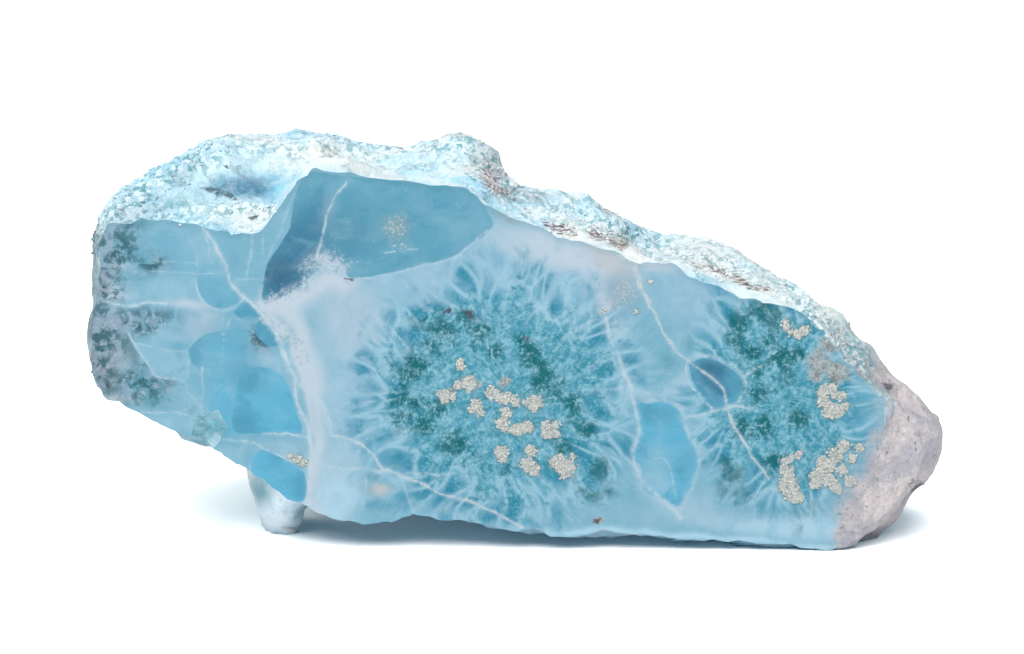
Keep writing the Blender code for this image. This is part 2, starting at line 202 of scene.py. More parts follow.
# width, how chalky, strength, line
veins = {
    "leftMain": (3.2, 0.25, 0.95, [(203, 229), (219, 253), (232, 286), (253, 305), (267, 320), (276, 334),
                                   (286, 357), (295, 380), (297, 405), (307, 424), (311, 447), (309, 482),
                                   (308, 507)]),
    "leftStrand": (2.2, 0.0, 0.8, [(276, 340), (295, 380), (318, 398), (328, 415), (332, 434)]),
    "column": (4.0, 0.0, 0.75, [(602, 312), (615, 347), (629, 383), (634, 404), (639, 427), (633, 455),
                                (644, 483), (677, 513), (679, 519)]),
    "columnSide": (3.4, 0.0, 0.5, [(676, 405), (681, 414), (688, 434), (699, 460), (693, 483),
                                   (679, 512)]),
    "seam": (2.3, 0.9, 0.95, [(634, 258), (637, 268), (642, 291), (650, 304), (663, 331), (675, 348),
                              (684, 359), (703, 372), (717, 382), (723, 388), (725, 400), (727, 409),
                              (736, 429), (749, 450), (761, 468), (770, 480)]),
    "seamHead": (3.6, 1.0, 0.8, [(612, 247), (622, 258), (634, 266), (638, 285), (650, 303)]),
    "seamBranch": (2.4, 0.0, 0.8, [(686, 418), (705, 413), (726, 409), (742, 407), (754, 408)]),
    "cellRim": (3.0, 0.0, 0.55, [(684, 359), (703, 355), (724, 361), (741, 373), (746, 388), (737, 404)]),
    "cellWisp": (2.2, 0.0, 0.6, [(741, 378), (752, 372), (762, 366)]),
    "cellEdge": (1.8, 0.1, 0.8, [(686, 364), (689, 382), (700, 396), (712, 408)]),
    "lowerSeam": (2.3, 0.55, 0.95, [(331, 436), (345, 437), (355, 441), (372, 453), (382, 468),
                                    (400, 475), (425, 486), (440, 494), (465, 500), (495, 513),
                                    (525, 529)]),
    "lowerLevel": (2.2, 0.0, 0.7, [(315, 463), (335, 467), (360, 470), (400, 473), (430, 475),
                                   (455, 473)]),
    "lowerDrop": (2.0, 0.0, 0.5, [(400, 476), (406, 492), (413, 512)]),
    "lowerLeft": (1.8, 0.0, 0.45, [(364, 470), (366, 488), (363, 512)]),
    "leftLevel": (1.7, 0.1, 0.85, [(142, 413), (170, 413), (194, 415), (205, 424), (211, 434), (230, 440),
                                   (251, 442), (266, 450), (282, 457), (297, 461), (309, 463)]),
    "leftUpright": (1.7, 0.0, 0.6, [(202, 367), (203, 390), (201, 415), (209, 434)]),
    "leftWeb": (1.4, 0.0, 0.6, [(186, 385), (194, 400), (206, 416)]),
    "leftWebLow": (1.4, 0.0, 0.55, [(178, 415), (190, 405), (203, 398)]),
    "levelRight": (1.8, 0.0, 0.85, [(263, 434), (285, 434), (307, 437)]),
    "tealEdge": (2.0, 0.1, 0.8, [(127, 332), (142, 357), (148, 366), (156, 376), (182, 382)]),
    "topLevel": (2.6, 0.0, 0.85, [(102, 301), (118, 305), (133, 305), (150, 303), (167, 303)]),
    "fineLevel": (1.3, 0.0, 0.45, [(133, 272), (165, 272), (200, 274), (222, 272)]),
    "fineLevelLow": (1.2, 0.0, 0.4, [(150, 264), (175, 262), (196, 263)]),
    "wisp": (1.8, 0.0, 0.45, [(251, 233), (252, 250), (246, 276)]),
    "wispRight": (1.3, 0.0, 0.4, [(263, 228), (262, 255)]),
    "wispCross": (1.2, 0.0, 0.7, [(226, 283), (240, 280), (254, 279), (267, 279)]),
    "wispDown": (1.8, 0.0, 0.55, [(265, 277), (262, 290), (258, 305)]),
    "wispLeft": (1.3, 0.0, 0.4, [(187, 236), (195, 250), (197, 266)]),
    "wispMid": (1.3, 0.0, 0.55, [(204, 236), (209, 250), (212, 264)]),
    "cellLower": (1.8, 0.0, 0.55, [(196, 283), (200, 298), (215, 309), (232, 309), (243, 300)]),
    "shardTop": (1.4, 0.0, 0.45, [(131, 341), (160, 349), (186, 352)]),
    "shardSide": (1.5, 0.0, 0.5, [(186, 350), (188, 366), (185, 382)]),
    "fineUpright": (1.2, 0.0, 0.5, [(231, 316), (226, 333), (223, 350)]),
    "fineUpright2": (1.2, 0.0, 0.45, [(223, 312), (222, 335)]),
    "fineCross": (1.2, 0.0, 0.45, [(236, 318), (250, 318), (262, 319)]),
    "lowWindowEdge": (2.6, 0.1, 0.9, [(249, 475), (265, 489), (280, 499), (294, 503), (308, 505)]),
    "lowWindowTop": (1.5, 0.0, 0.55, [(250, 470), (251, 458), (262, 449)]),
    "windowVein": (2.0, 0.15, 0.8, [(346, 184), (335, 196), (330, 208), (327, 217), (321, 240),
                                    (317, 259)]),
    "windowRim": (2.2, 0.0, 0.6, [(492, 228), (470, 245), (455, 257), (420, 266), (385, 275),
                                  (352, 279)]),
    "windowStreak": (1.2, 0.3, 0.75, [(383, 253), (400, 252), (418, 250)]),
    "windowStreak2": (1.1, 0.0, 0.4, [(356, 262), (370, 260), (387, 257)]),
    "windowLeftRim": (1.8, 0.0, 0.35, [(303, 173), (290, 205), (276, 240), (266, 262)]),
    "rightFacet": (2.2, 0.0, 0.5, [(826, 335), (836, 350), (848, 365), (862, 379), (880, 398)]),
    "rightWisp": (2.2, 0.0, 0.45, [(800, 470), (806, 482), (812, 500), (810, 520)]),
    "rightWispLow": (2.0, 0.0, 0.4, [(748, 500), (760, 492), (776, 490), (786, 500)]),
    "fanTop": (1.5, 0.0, 0.5, [(378, 322), (392, 330), (405, 345), (412, 352)]),
    "fanTop2": (1.8, 0.0, 0.45, [(360, 328), (380, 345), (392, 362)]),
    "fanRight": (1.6, 0.0, 0.4, [(520, 330), (535, 312), (548, 302)]),
    "fanRight2": (2.0, 0.0, 0.5, [(556, 350), (575, 330), (598, 318)]),
    "fanRight3": (2.0, 0.0, 0.45, [(588, 366), (605, 358), (620, 352)]),
    "fanRight4": (2.0, 0.0, 0.45, [(585, 395), (605, 390), (628, 388)]),
    "midCrack": (1.2, 0.0, 0.5, [(650, 462), (662, 458), (670, 470), (676, 500)]),
}

# crisp clear cells: tone and outline
windows = {
    "topWindow": ("pool", [(304, 172), (318, 172), (340, 176), (370, 178), (400, 181), (430, 184),
                           (455, 187), (470, 191), (482, 203), (490, 215), (493, 226), (484, 236),
                           (470, 245), (455, 256), (437, 262), (420, 266), (385, 274), (352, 279),
                           (344, 270), (332, 264), (318, 270), (306, 282), (290, 293), (275, 301),
                           (264, 305), (262, 296), (264, 278), (268, 262), (280, 244), (290, 226),
                           (292, 206), (297, 188)]),
    "midWindow": ("azure", [(636, 401), (648, 404), (660, 402), (672, 405), (681, 414), (688, 434),
                            (699, 460), (693, 483), (681, 506), (668, 502), (644, 490), (641, 468),
                            (633, 455), (638, 440), (640, 427), (636, 414)]),
    "ovalCell": ("deep", [(689, 364), (703, 358), (723, 364), (739, 376), (743, 388), (735, 402),
                          (724, 406), (713, 408), (703, 396), (692, 381)]),
    "brightWindow": ("azure", [(234, 396), (243, 374), (262, 367), (280, 374), (289, 388), (297, 413),
                               (301, 433), (270, 433), (236, 433), (232, 414)]),
    "lowWindow": ("azure", [(251, 454), (262, 450), (280, 457), (296, 466), (306, 478), (305, 499),
                            (293, 503), (280, 499), (264, 488), (250, 474)]),
    "roundCell": ("clear", [(201, 268), (212, 264), (220, 267), (228, 282), (240, 300), (230, 307),
                            (215, 308), (203, 300), (197, 285)]),
    "diamondCell": ("clear", [(188, 350), (202, 336), (223, 331), (247, 329), (244, 362), (221, 368),
                              (194, 366)]),
    "lightShard": ("pale", [(131, 341), (163, 349), (186, 353), (188, 376), (182, 381), (157, 375),
                            (145, 361)]),
    "topTriangle": ("deep", [(233, 313), (245, 301), (253, 308), (263, 318), (241, 319)]),
    "rightTriangle": ("deep", [(252, 326), (259, 321), (272, 332), (281, 342), (270, 347), (256, 336)]),
    "smallCell": ("lagoon", [(202, 432), (211, 431), (213, 442), (203, 441)]),
}

# soft patches: tone, x, y, reach across, reach down, turn, strength
facePatches = [
    ("milk", 420, 330, 115, 80, -25, 0.95), ("milk", 540, 300, 120, 62, 10, 0.92),
    ("milk", 345, 430, 34, 60, 0, 0.70), ("rose", 352, 318, 34, 48, -20, 0.60),
    ("lilac", 530, 246, 52, 16, 15, 0.60), ("lilac", 575, 258, 60, 20, 22, 0.80),
    ("sand", 612, 262, 26, 13, 28, 0.75), ("smoke", 622, 298, 22, 26, 0, 0.60),
    ("rose", 612, 330, 16, 30, -15, 0.70), ("ice", 620, 372, 12, 26, -15, 0.70),
    ("pale", 594, 348, 18, 26, 0, 0.60), ("sky", 652, 345, 26, 52, -12, 0.95),
    ("ice", 655, 395, 24, 9, 0, 0.80), ("lagoon", 668, 360, 8, 10, 0, 0.5),
    ("lagoon", 690, 343, 12, 8, 40, 0.5), ("milk", 700, 300, 44, 30, 30, 0.85),
    ("lilac", 656, 264, 22, 9, 10, 0.80), ("clear", 735, 292, 44, 10, 25, 0.7),
    ("pale", 700, 440, 26, 60, -8, 0.70), ("clear", 775, 400, 80, 90, 0, 0.60),
    ("sea", 775, 318, 36, 14, 22, 0.60), ("pale", 870, 400, 24, 28, 20, 0.85),
    ("lagoon", 846, 358, 16, 22, -40, 0.70), ("sea", 864, 406, 15, 10, 0, 0.60),
    ("pale", 780, 527, 100, 17, 3, 0.75), ("ice", 720, 520, 60, 9, 3, 0.55),
    ("pale", 600, 505, 40, 26, 0, 0.6), ("sky", 430, 502, 56, 22, 8, 0.90),
    ("ice", 333, 500, 27, 24, 0, 0.95), ("milk", 500, 500, 30, 14, 10, 0.5),
    ("ice", 480, 522, 60, 9, 12, 0.5), ("sand", 378, 491, 12, 7, 0, 1.0),
    ("lagoon", 374, 477, 11, 3.5, 4, 0.80), ("deep", 383, 455, 8, 7, 0, 0.80),
    ("deep", 401, 459, 9, 8, 10, 0.80), ("deep", 421, 457, 8, 9, -10, 0.85),
    ("deep", 381, 507, 15, 5, 0, 0.80), ("deep", 401, 496, 8, 5, 0, 0.70),
    ("clear", 455, 482, 13, 6, 10, 0.70), ("khaki", 506, 213, 16, 6, 38, 0.50),
    # the glow patches are painted light on the lower part of the cut
    ("ice", 340, 470, 24, 38, 0, 0.75), ("glow", 800, 528, 80, 12, 3, 0.85),
    ("glow", 335, 500, 26, 24, 0, 0.80), ("ice", 690, 505, 40, 14, 3, 0.6),
    ("pale", 640, 520, 40, 14, 0, 0.5), ("pale", 160, 268, 80, 40, 0, 0.90),
    ("sky", 150, 250, 64, 26, 0, 0.85), ("sky", 238, 250, 30, 34, 0, 0.90),
    ("pale", 203, 250, 14, 24, -20, 0.70), ("sky", 276, 216, 20, 46, 33, 0.95),
    ("lagoon", 128, 226, 17, 6, 0, 0.80), ("lagoon", 123, 242, 12, 11, 20, 0.55),
    ("clear", 162, 240, 14, 9, 0, 0.5), ("sea", 145, 264, 13, 6, 15, 0.85),
    ("lagoon", 143, 277, 14, 3, 0, 0.60), ("smoke", 112, 252, 12, 16, 0, 0.50),
    ("milk", 106, 234, 8, 14, 25, 0.50), ("lilac", 118, 270, 17, 5, -32, 0.75),
    ("lilac", 114, 296, 18, 8, 5, 0.75), ("ash", 104, 283, 8, 13, 0, 0.60),
    ("pale", 165, 287, 36, 13, 0, 0.60), ("lilac", 189, 304, 24, 6, 4, 0.95),
    ("sky", 152, 316, 50, 12, 5, 0.80), ("lagoon", 148, 321, 14, 8, 10, 0.90),
    ("smoke", 112, 320, 24, 14, 0, 0.85), ("moss", 96, 326, 7, 14, 0, 0.50),
    ("rose", 203, 324, 20, 15, -20, 0.90), ("milk", 176, 338, 18, 7, 10, 0.70),
    ("clear", 176, 346, 12, 3.2, -5, 0.90), ("pale", 145, 338, 24, 7, 10, 0.50),
    ("teal", 119, 338, 9, 6, 40, 0.70), ("smoke", 101, 364, 22, 36, 0, 0.95),
    ("moss", 104, 366, 18, 30, 0, 0.55), ("ash", 106, 372, 10, 12, 0, 0.55),
    ("ash", 119, 356, 8, 9, 0, 0.50), ("moss", 111, 386, 15, 8, 10, 0.65),
    ("rose", 100, 345, 12, 12, 0, 0.4), ("sand", 118, 399, 16, 4, 12, 0.7),
    ("lagoon", 137, 376, 14, 15, 10, 0.90), ("teal", 157, 387, 14, 7, 10, 0.85),
    ("sea", 142, 397, 12, 9, 0, 0.85), ("moss", 131, 352, 6, 13, -30, 0.75),
    ("lagoon", 152, 403, 16, 6, 0, 0.6), ("pale", 184, 392, 20, 15, 0, 0.85),
    ("sky", 195, 372, 8, 16, 0, 0.70), ("sea", 192, 408, 8, 5, 20, 0.65),
    ("pale", 166, 419, 44, 9, 8, 0.85), ("sky", 150, 417, 16, 3, 4, 0.5),
    ("azure", 224, 398, 17, 32, 0, 0.90), ("deep", 248, 378, 18, 14, 0, 0.85),
    ("clear", 235, 350, 34, 24, 0, 0.80), ("milk", 270, 366, 11, 22, -32, 0.60),
    ("smoke", 262, 340, 12, 16, -20, 0.50), ("clear", 160, 256, 50, 30, 0, 0.50),
    ("clear", 195, 355, 46, 48, 0, 0.30), ("clear", 470, 302, 36, 12, 8, 0.55),
    ("sky", 402, 298, 24, 12, 0, 0.50), ("ash", 100, 286, 9, 18, 0, 0.70),
    ("ash", 97, 352, 8, 24, 0, 0.50), ("sky", 303, 402, 10, 24, 0, 0.60),
    ("azure", 225, 424, 18, 11, 0, 0.80), ("pale", 226, 452, 17, 8, 20, 0.85),
    ("sky", 255, 446, 20, 4, 8, 0.70), ("ice", 284, 448, 22, 8, 12, 0.55),
    ("snow", 298, 459, 11, 4, 10, 0.60),
]

# soft patches inside the clear cells
windowPatches = [
    ("steel", 296, 252, 26, 44, 26, 0.95), ("abyss", 280, 280, 22, 24, 10, 0.90),
    ("steel", 318, 222, 12, 34, 12, 0.55), ("steel", 346, 236, 26, 34, 20, 0.45),
    ("khaki", 395, 228, 17, 16, 0, 0.30), ("ice", 330, 200, 8, 22, 14, 0.25),
    ("smoke", 316, 262, 16, 12, -20, 0.50), ("sky", 470, 218, 34, 26, 0, 0.45),
    ("deep", 445, 246, 46, 8, -20, 0.35), ("sand", 294, 178, 5, 5, 0, 0.60),
    ("sky", 330, 182, 30, 7, 4, 0.4), ("pale", 350, 268, 22, 8, 0, 0.35),
    ("deep", 656, 414, 20, 12, 4, 0.75), ("pale", 655, 468, 18, 26, 10, 0.65),
    ("clear", 690, 462, 8, 26, 0, 0.50), ("deep", 241, 420, 12, 18, 0, 0.75),
    ("deep", 247, 384, 16, 12, 0, 0.85), ("clear", 262, 380, 20, 14, 30, 0.5),
    ("deep", 300, 488, 8, 14, 0, 0.70), ("lagoon", 709, 366, 13, 5, 10, 0.75),
    ("azure", 728, 396, 14, 8, 20, 0.7), ("steel", 716, 380, 22, 18, 30, 0.90),
    ("abyss", 722, 393, 10, 6, 20, 0.60), ("deep", 732, 380, 8, 9, 0, 0.80),
    ("sky", 706, 390, 7, 3, 40, 0.50), ("abyss", 714, 370, 12, 4, 20, 0.45),
    ("ice", 662, 486, 12, 8, 30, 0.45), ("milk", 648, 476, 8, 5, 0, 0.45),
    ("abyss", 704, 372, 10, 7, 30, 0.55), ("deep", 196, 352, 10, 12, 0, 0.80),
    ("azure", 222, 350, 14, 14, 0, 0.5),
]

# broad milky veils: tone, half width, strength, line
veils = [
    ("lilac", 11, 0.95, [(268, 308), (286, 303), (306, 294), (330, 282), (346, 286)]),
    ("lilac", 10, 0.80, [(286, 306), (300, 330), (310, 356), (314, 386)]),
    ("lilac", 6, 0.80, [(300, 350), (310, 390), (318, 420), (318, 450), (313, 490), (316, 512)]),
    ("frost", 3.0, 0.85, [(259, 304), (274, 316), (288, 336), (298, 360), (304, 388), (311, 420),
                          (315, 446), (311, 480), (309, 506)]),
    ("frost", 4.5, 0.75, [(264, 306), (284, 310), (296, 326), (300, 348)]),
    ("frost", 3.5, 0.70, [(300, 296), (318, 286), (336, 280), (352, 283)]),
    ("frost", 2.2, 0.60, [(300, 384), (316, 400), (326, 418), (331, 436)]),
    # the glow veil is painted light along the lower edge of the cut
    ("glow", 3.4, 0.80, [(548, 532), (600, 532), (640, 533), (700, 537), (760, 542), (836, 549)]),
    ("lilac", 7, 0.60, [(600, 290), (612, 325), (626, 370), (632, 395)]),
    ("ice", 6, 0.60, [(688, 372), (676, 392), (684, 420), (702, 455)]),
    ("ice", 6, 0.55, [(640, 440), (634, 462), (648, 492), (676, 514)]),
    ("milk", 7, 0.60, [(380, 474), (410, 478), (440, 488), (480, 502), (520, 524)]),
]

# centre, and reach across and down
rosettes = {
    "middle": {"centre": (503, 396), "reach": (112, 97)},
    "right": {"centre": (782, 398), "reach": (73, 89)},
}

# dark clouds in the rosettes, and lumps of chalk: x, y, reach
tealSpots = [
    (431, 331, 12), (431, 345, 9), (452, 329, 10), (477, 334, 9), (408, 377, 11), (399, 394, 10),
    (402, 422, 11), (439, 411, 9), (448, 442, 9), (458, 443, 8), (529, 355, 10), (540, 382, 11),
    (554, 394, 12), (573, 401, 10), (545, 372, 8), (523, 343, 7), (418, 362, 8), (462, 318, 8),
    (440, 318, 8), (495, 350, 7), (585, 425, 8), (560, 445, 7), (600, 470, 8), (592, 500, 8),
    (610, 490, 7), (505, 470, 6), (415, 402, 8), (425, 430, 9), (740, 327, 10), (742, 339, 9),
    (761, 310, 11), (770, 344, 11), (780, 356, 10), (753, 354, 9), (757, 370, 7), (733, 475, 11),
    (739, 493, 9), (744, 429, 8), (728, 462, 7), (765, 425, 7), (797, 519, 11), (800, 419, 8),
    (790, 372, 7), (760, 396, 8), (772, 462, 7), (845, 338, 6), (798, 358, 7), (720, 488, 8),
    (835, 375, 7),
]

chalkSpots = [
    (460, 365, 5), (468, 384, 7), (458, 385, 5), (444, 396, 7), (452, 397, 4), (475, 407, 7),
    (481, 412, 5), (492, 394, 7), (499, 397, 6), (507, 399, 6), (515, 401, 6), (534, 403, 8),
    (524, 402, 4), (506, 413, 6), (503, 424, 7), (517, 430, 6), (527, 427, 6), (546, 426, 5),
    (556, 425, 5), (547, 434, 5), (556, 433, 5), (502, 453, 7), (502, 460, 4), (531, 451, 6),
    (529, 465, 8), (534, 470, 6), (559, 462, 9), (566, 468, 9), (572, 457, 5), (564, 474, 5),
    (785, 322, 4), (787, 328, 4), (791, 332, 4), (798, 333, 5), (805, 330, 5), (824, 392, 7),
    (833, 391, 7), (842, 396, 5), (824, 402, 6), (829, 411, 7), (838, 412, 6), (845, 406, 4),
    (788, 460, 6), (786, 470, 7), (788, 480, 8), (790, 492, 8), (797, 498, 6), (799, 455, 4),
    (784, 484, 6), (845, 446, 6), (835, 455, 9), (826, 465, 10), (820, 476, 9), (829, 480, 8),
    (842, 470, 6), (850, 482, 5), (836, 490, 5), (852, 458, 5), (860, 448, 4), (815, 484, 5),
    (636, 311, 2.5), (651, 281, 3), (603, 312, 2), (298, 459, 4), (303, 462, 4), (290, 456, 3),
]

# faint scattered chalk: x, y, reach across, reach down
chalkDust = [
    (395, 228, 19, 19), (399, 246, 17, 5), (626, 292, 20, 20), (612, 305, 18, 12),
]

# grey rock: x, y, reach across, reach down
gritSpots = [
    (829, 345, 12, 10), (822, 362, 15, 14), (838, 372, 14, 12), (815, 375, 10, 6), (502, 382, 7, 6),
    (600, 523, 7, 5), (478, 385, 4, 4), (452, 389, 5, 4),
]
# dark specks: x, y, reach
darkSpecks = [
    (471, 315, 7), (466, 313, 4), (449, 311, 5), (444, 313, 3), (528, 339, 4), (524, 337, 3),
    (597, 521, 6), (88, 361, 6), (107, 386, 3), (492, 470, 2), (344, 278.3, 1.9), (346, 278.8, 2.1),
    (348.5, 279.2, 2.2), (351, 279.6, 2.1), (353.5, 279.8, 1.9), (356, 279.8, 1.7),
]
# mottling and frost: x, y, reach across, reach down, turn
mottleSpots = [
    (102, 345, 26, 66, 0), (142, 322, 34, 15, 0), (114, 250, 26, 36, 0), (138, 384, 32, 24, 0),
    (106, 290, 22, 24, 0), (150, 262, 20, 10, 10), (262, 338, 12, 14, -20),
]
frostSpots = [
    (336, 266, 15, 9, 0), (322, 262, 24, 11, -10), (306, 284, 15, 8, -38), (290, 292, 17, 9, -34),
    (272, 301, 13, 8, -22), (266, 318, 8, 12, -30), (282, 332, 9, 14, -30), (300, 352, 8, 18, -20),
]
knobOutline = [
    (893, 404), (880, 430), (866, 460), (848, 492), (837, 515), (834, 560), (960, 560), (960, 404),
]

# where loose grains lie on the skin: x, y, reach across, reach down, turn, how many
crumbPatches = [
    (130, 200, 60, 22, -38, 1.0), (180, 168, 44, 16, -30, 0.9), (205, 150, 20, 22, 0, 0.8),
    (160, 215, 70, 14, 6, 0.7), (240, 210, 60, 9, 4, 0.8), (212, 134, 20, 8, 0, 0.9),
    (330, 148, 90, 10, 0, 0.35), (450, 145, 34, 14, 0, 0.6), (500, 178, 40, 18, 34, 0.9),
    (560, 215, 50, 12, 20, 0.5), (620, 232, 46, 16, 26, 0.6), (730, 270, 60, 14, 22, 0.5),
    (810, 312, 44, 14, 36, 0.9), (862, 358, 40, 18, 48, 1.0), (900, 398, 26, 18, 50, 0.9),
    (920, 440, 16, 40, 0, 0.4),
]

# dark cracks in the skin, painted near-black as the shade inside them: half width, line
skinCracks = [
    (1.5, [(200, 187), (212, 188), (222, 190), (231, 196), (243, 201)]),
    (1.2, [(217, 158), (222, 164), (230, 168)]), (1.0, [(258, 212), (272, 204), (286, 195), (300, 182)]),
    (1.0, [(246, 222), (256, 216), (266, 214)]), (1.1, [(440, 150), (452, 160), (466, 172), (478, 184)]),
    (1.0, [(600, 216), (603, 226), (612, 234)]), (1.3, [(884, 384), (889, 388), (890, 394)]),
    (1.2, [(868, 376), (874, 380), (882, 381)]), (1.6, [(898, 500), (908, 494), (916, 486), (924, 476)]),
]

# the broken skin over the cut: tone, x, y, reach across, reach down, turn, strength
skinPatches = [
    ("ice", 245, 152, 44, 16, 0, 0.85), ("sky", 262, 160, 22, 9, 0, 0.5),
    ("sky", 244, 184, 50, 18, -4, 0.90), ("steel", 246, 186, 34, 12, -4, 0.95),
    ("abyss", 242, 187, 24, 8, 6, 0.95), ("clear", 276, 190, 16, 10, -30, 0.8),
    ("sand", 212, 136, 14, 10, -20, 0.70), ("smoke", 206, 152, 12, 10, -40, 0.60),
    ("ash", 214, 147, 5, 8, 0, 0.60), ("snow", 330, 156, 110, 14, 0, 0.80),
    ("snow", 255, 212, 60, 7, 4, 0.90), ("ice", 375, 150, 22, 6, 0, 0.55),
    ("ice", 410, 160, 20, 6, 0, 0.45), ("peach", 322, 152, 26, 5, 4, 0.45),
    ("sand", 290, 143, 40, 4, 4, 0.50), ("snow", 455, 150, 34, 12, 0, 0.60),
    ("sand", 440, 142, 18, 5, -30, 0.60), ("ash", 437, 145, 9, 3, -30, 0.60),
    ("khaki", 487, 162, 15, 11, 40, 0.75), ("mauve", 492, 174, 22, 11, 38, 0.85),
    ("sand", 512, 180, 28, 12, 20, 0.75), ("mauve", 520, 192, 26, 6, 16, 0.80),
    ("ash", 545, 196, 18, 4, 14, 0.70), ("mauve", 498, 186, 16, 6, 50, 0.70),
    ("ice", 640, 226, 44, 20, 32, 0.80), ("ice", 575, 205, 26, 10, 20, 0.60),
    ("sand", 584, 196, 14, 4, 14, 0.60), ("sand", 630, 213, 16, 4, 26, 0.60),
    ("sand", 610, 204, 12, 4, 10, 0.50), ("khaki", 622, 242, 9, 8, 0, 0.90),
    ("sand", 640, 254, 22, 7, 22, 0.70), ("snow", 740, 268, 60, 16, 18, 0.80),
    ("ice", 745, 266, 18, 4, 24, 0.50), ("ice", 800, 302, 20, 8, 30, 0.50),
    ("snow", 800, 310, 40, 10, 35, 0.60), ("pale", 850, 340, 20, 12, 45, 0.70),
    ("smoke", 866, 372, 22, 16, 48, 0.70), ("sea", 850, 352, 8, 6, 0, 0.60),
    ("clear", 838, 330, 10, 5, 30, 0.60), ("snow", 880, 378, 16, 10, 45, 0.60),
    ("sand", 905, 400, 20, 14, 40, 0.70), ("moss", 866, 374, 30, 14, 48, 0.75),
    ("mauve", 843, 331, 8, 4, 30, 0.70), ("pale", 150, 195, 70, 30, -35, 0.95),
    ("sea", 130, 205, 12, 8, 0, 0.4), ("sea", 178, 178, 12, 5, -30, 0.4),
    ("ice", 215, 200, 40, 14, 0, 0.6), ("pale", 135, 200, 30, 16, -35, 0.5),
    ("smoke", 190, 165, 26, 9, -30, 0.45), ("khaki", 845, 335, 40, 12, 42, 0.45),
    ("ash", 868, 366, 34, 10, 48, 0.60), ("ash", 890, 392, 22, 8, 50, 0.70),
    ("sea", 131, 203, 5, 5, 0, 0.70), ("sea", 181, 201, 12, 8, 0, 0.50),
    ("sea", 165, 172, 8, 4, -30, 0.50), ("snow", 120, 215, 24, 18, -40, 0.50),
    # painted light: the foot patches paint the foot bright, as if well lit
    ("foot", 275, 505, 36, 42, 0, 1.0), ("lagoon", 260, 490, 12, 15, -20, 0.90),
    ("foot", 284, 518, 16, 9, 40, 0.60), ("chip", 210, 428, 36, 30, 0, 1.0),
    ("steel", 246, 186, 30, 10, -4, 0.90), ("abyss", 242, 188, 21, 6, 6, 0.90),
    ("smoke", 140, 203, 56, 24, -35, 0.60), ("mauve", 866, 372, 26, 12, 48, 0.30),
    ("abyss", 240, 187, 26, 9, 0, 0.90), ("sky", 244, 152, 34, 9, 0, 0.30),
    # painted shade: moss and ink darken the narrow left side, turned away from the light
    ("moss", 94, 270, 11, 46, 0, 0.90), ("moss", 90, 350, 13, 54, 0, 0.95),
    ("ink", 91, 300, 8, 110, 0, 0.45), ("ink", 97, 232, 5, 8, 0, 0.90), ("ink", 96, 250, 5, 8, 0, 0.90),
    ("ink", 90, 330, 3, 12, 0, 0.70), ("ink", 88, 362, 4, 9, 0, 0.80),
]

# streaks of iron on the skin: half width, strength, line
rustStreaks = [
    (4.0, 1.0, [(546, 224), (556, 229), (566, 232), (574, 233)]),
    (3.0, 1.0, [(549, 222), (560, 226), (575, 229)]),
    (5.0, 1.0, [(590, 232), (600, 236), (612, 241), (624, 246)]),
    (3.0, 1.0, [(602, 225), (606, 230), (616, 233), (626, 238)]),
    (3.0, 0.9, [(690, 262), (703, 267), (720, 272)]),
    (3.5, 1.0, [(704, 264), (722, 272), (738, 281), (752, 286), (770, 290)]),
    (3.0, 0.9, [(722, 268), (736, 275), (746, 283)]), (2.4, 0.8, [(364, 158), (372, 161), (384, 167)]),
    (2.2, 0.8, [(400, 167), (404, 164)]), (3.0, 0.8, [(421, 163), (426, 167), (430, 167)]),
    (3.0, 0.8, [(483, 178), (495, 188), (508, 195), (516, 200)]),
    (3.0, 0.8, [(481, 166), (488, 174), (498, 180)]),
    (3.4, 0.8, [(516, 184), (530, 194), (545, 196), (558, 202)]), (2.2, 0.7, [(525, 208), (532, 212)]),
    (2.4, 0.8, [(592, 211), (597, 212)]), (2.4, 0.8, [(609, 214), (616, 215)]),
    (3.0, 0.8, [(828, 331), (836, 336), (842, 343)]), (2.0, 0.7, [(814, 312), (816, 320)]),
    (2.4, 0.7, [(846, 322), (852, 328)]), (3.0, 0.9, [(873, 379), (880, 378), (886, 384)]),
]
# dark holes in the skin, painted near-black as the shade inside them: x, y, reach
darkPits = [
    (889, 387, 6), (887, 393, 4), (93, 250, 5), (96, 234, 4), (96, 254, 4), (89, 361, 7), (917, 487, 9),
    (911, 496, 8), (208, 188, 4), (218, 191, 5), (229, 195, 4), (441, 137, 3), (434, 144, 3),
]


# The stone's mesh: the broken skin is cut finer, and the sawn face is filled anew

sawnFace = {
    "gridStep": 0.245 * mm,
    "veinStep": 0.14 * mm,
    "clearance": 0.15 * mm,
    "recess": 0.13 * mm,
    "lip": 0.55 * mm,
    "raggedness": 0.40 * mm,
    "raggedSize": 1.3 * mm,
    "raggedDepth": 1.0 * mm,
    "crumble": 0.10 * mm,
    "crumbleSize": (0.45 * mm, 0.22 * mm),
    "knobDepth": 0.22 * mm,
    "knobLimit": 0.25 * mm,
    "knobSink": 0.05 * mm,
}
brokenSkin = {"cuts": 2, "smoothing": 1, "lumpDepth": 0.55 * mm, "lumpSize": 1.9 * mm,
              "grainDepth": 0.42 * mm, "grainSize": 0.75 * mm, "fade": 0.9 * mm}
crumbs = {
    "density": 13e6,
    "skinShare": 0.10,
    "chalkReach": 0.15 * mm,
    "skinReach": 0.26 * mm,
    "unevenness": 0.5,
    "seed": 4,
}


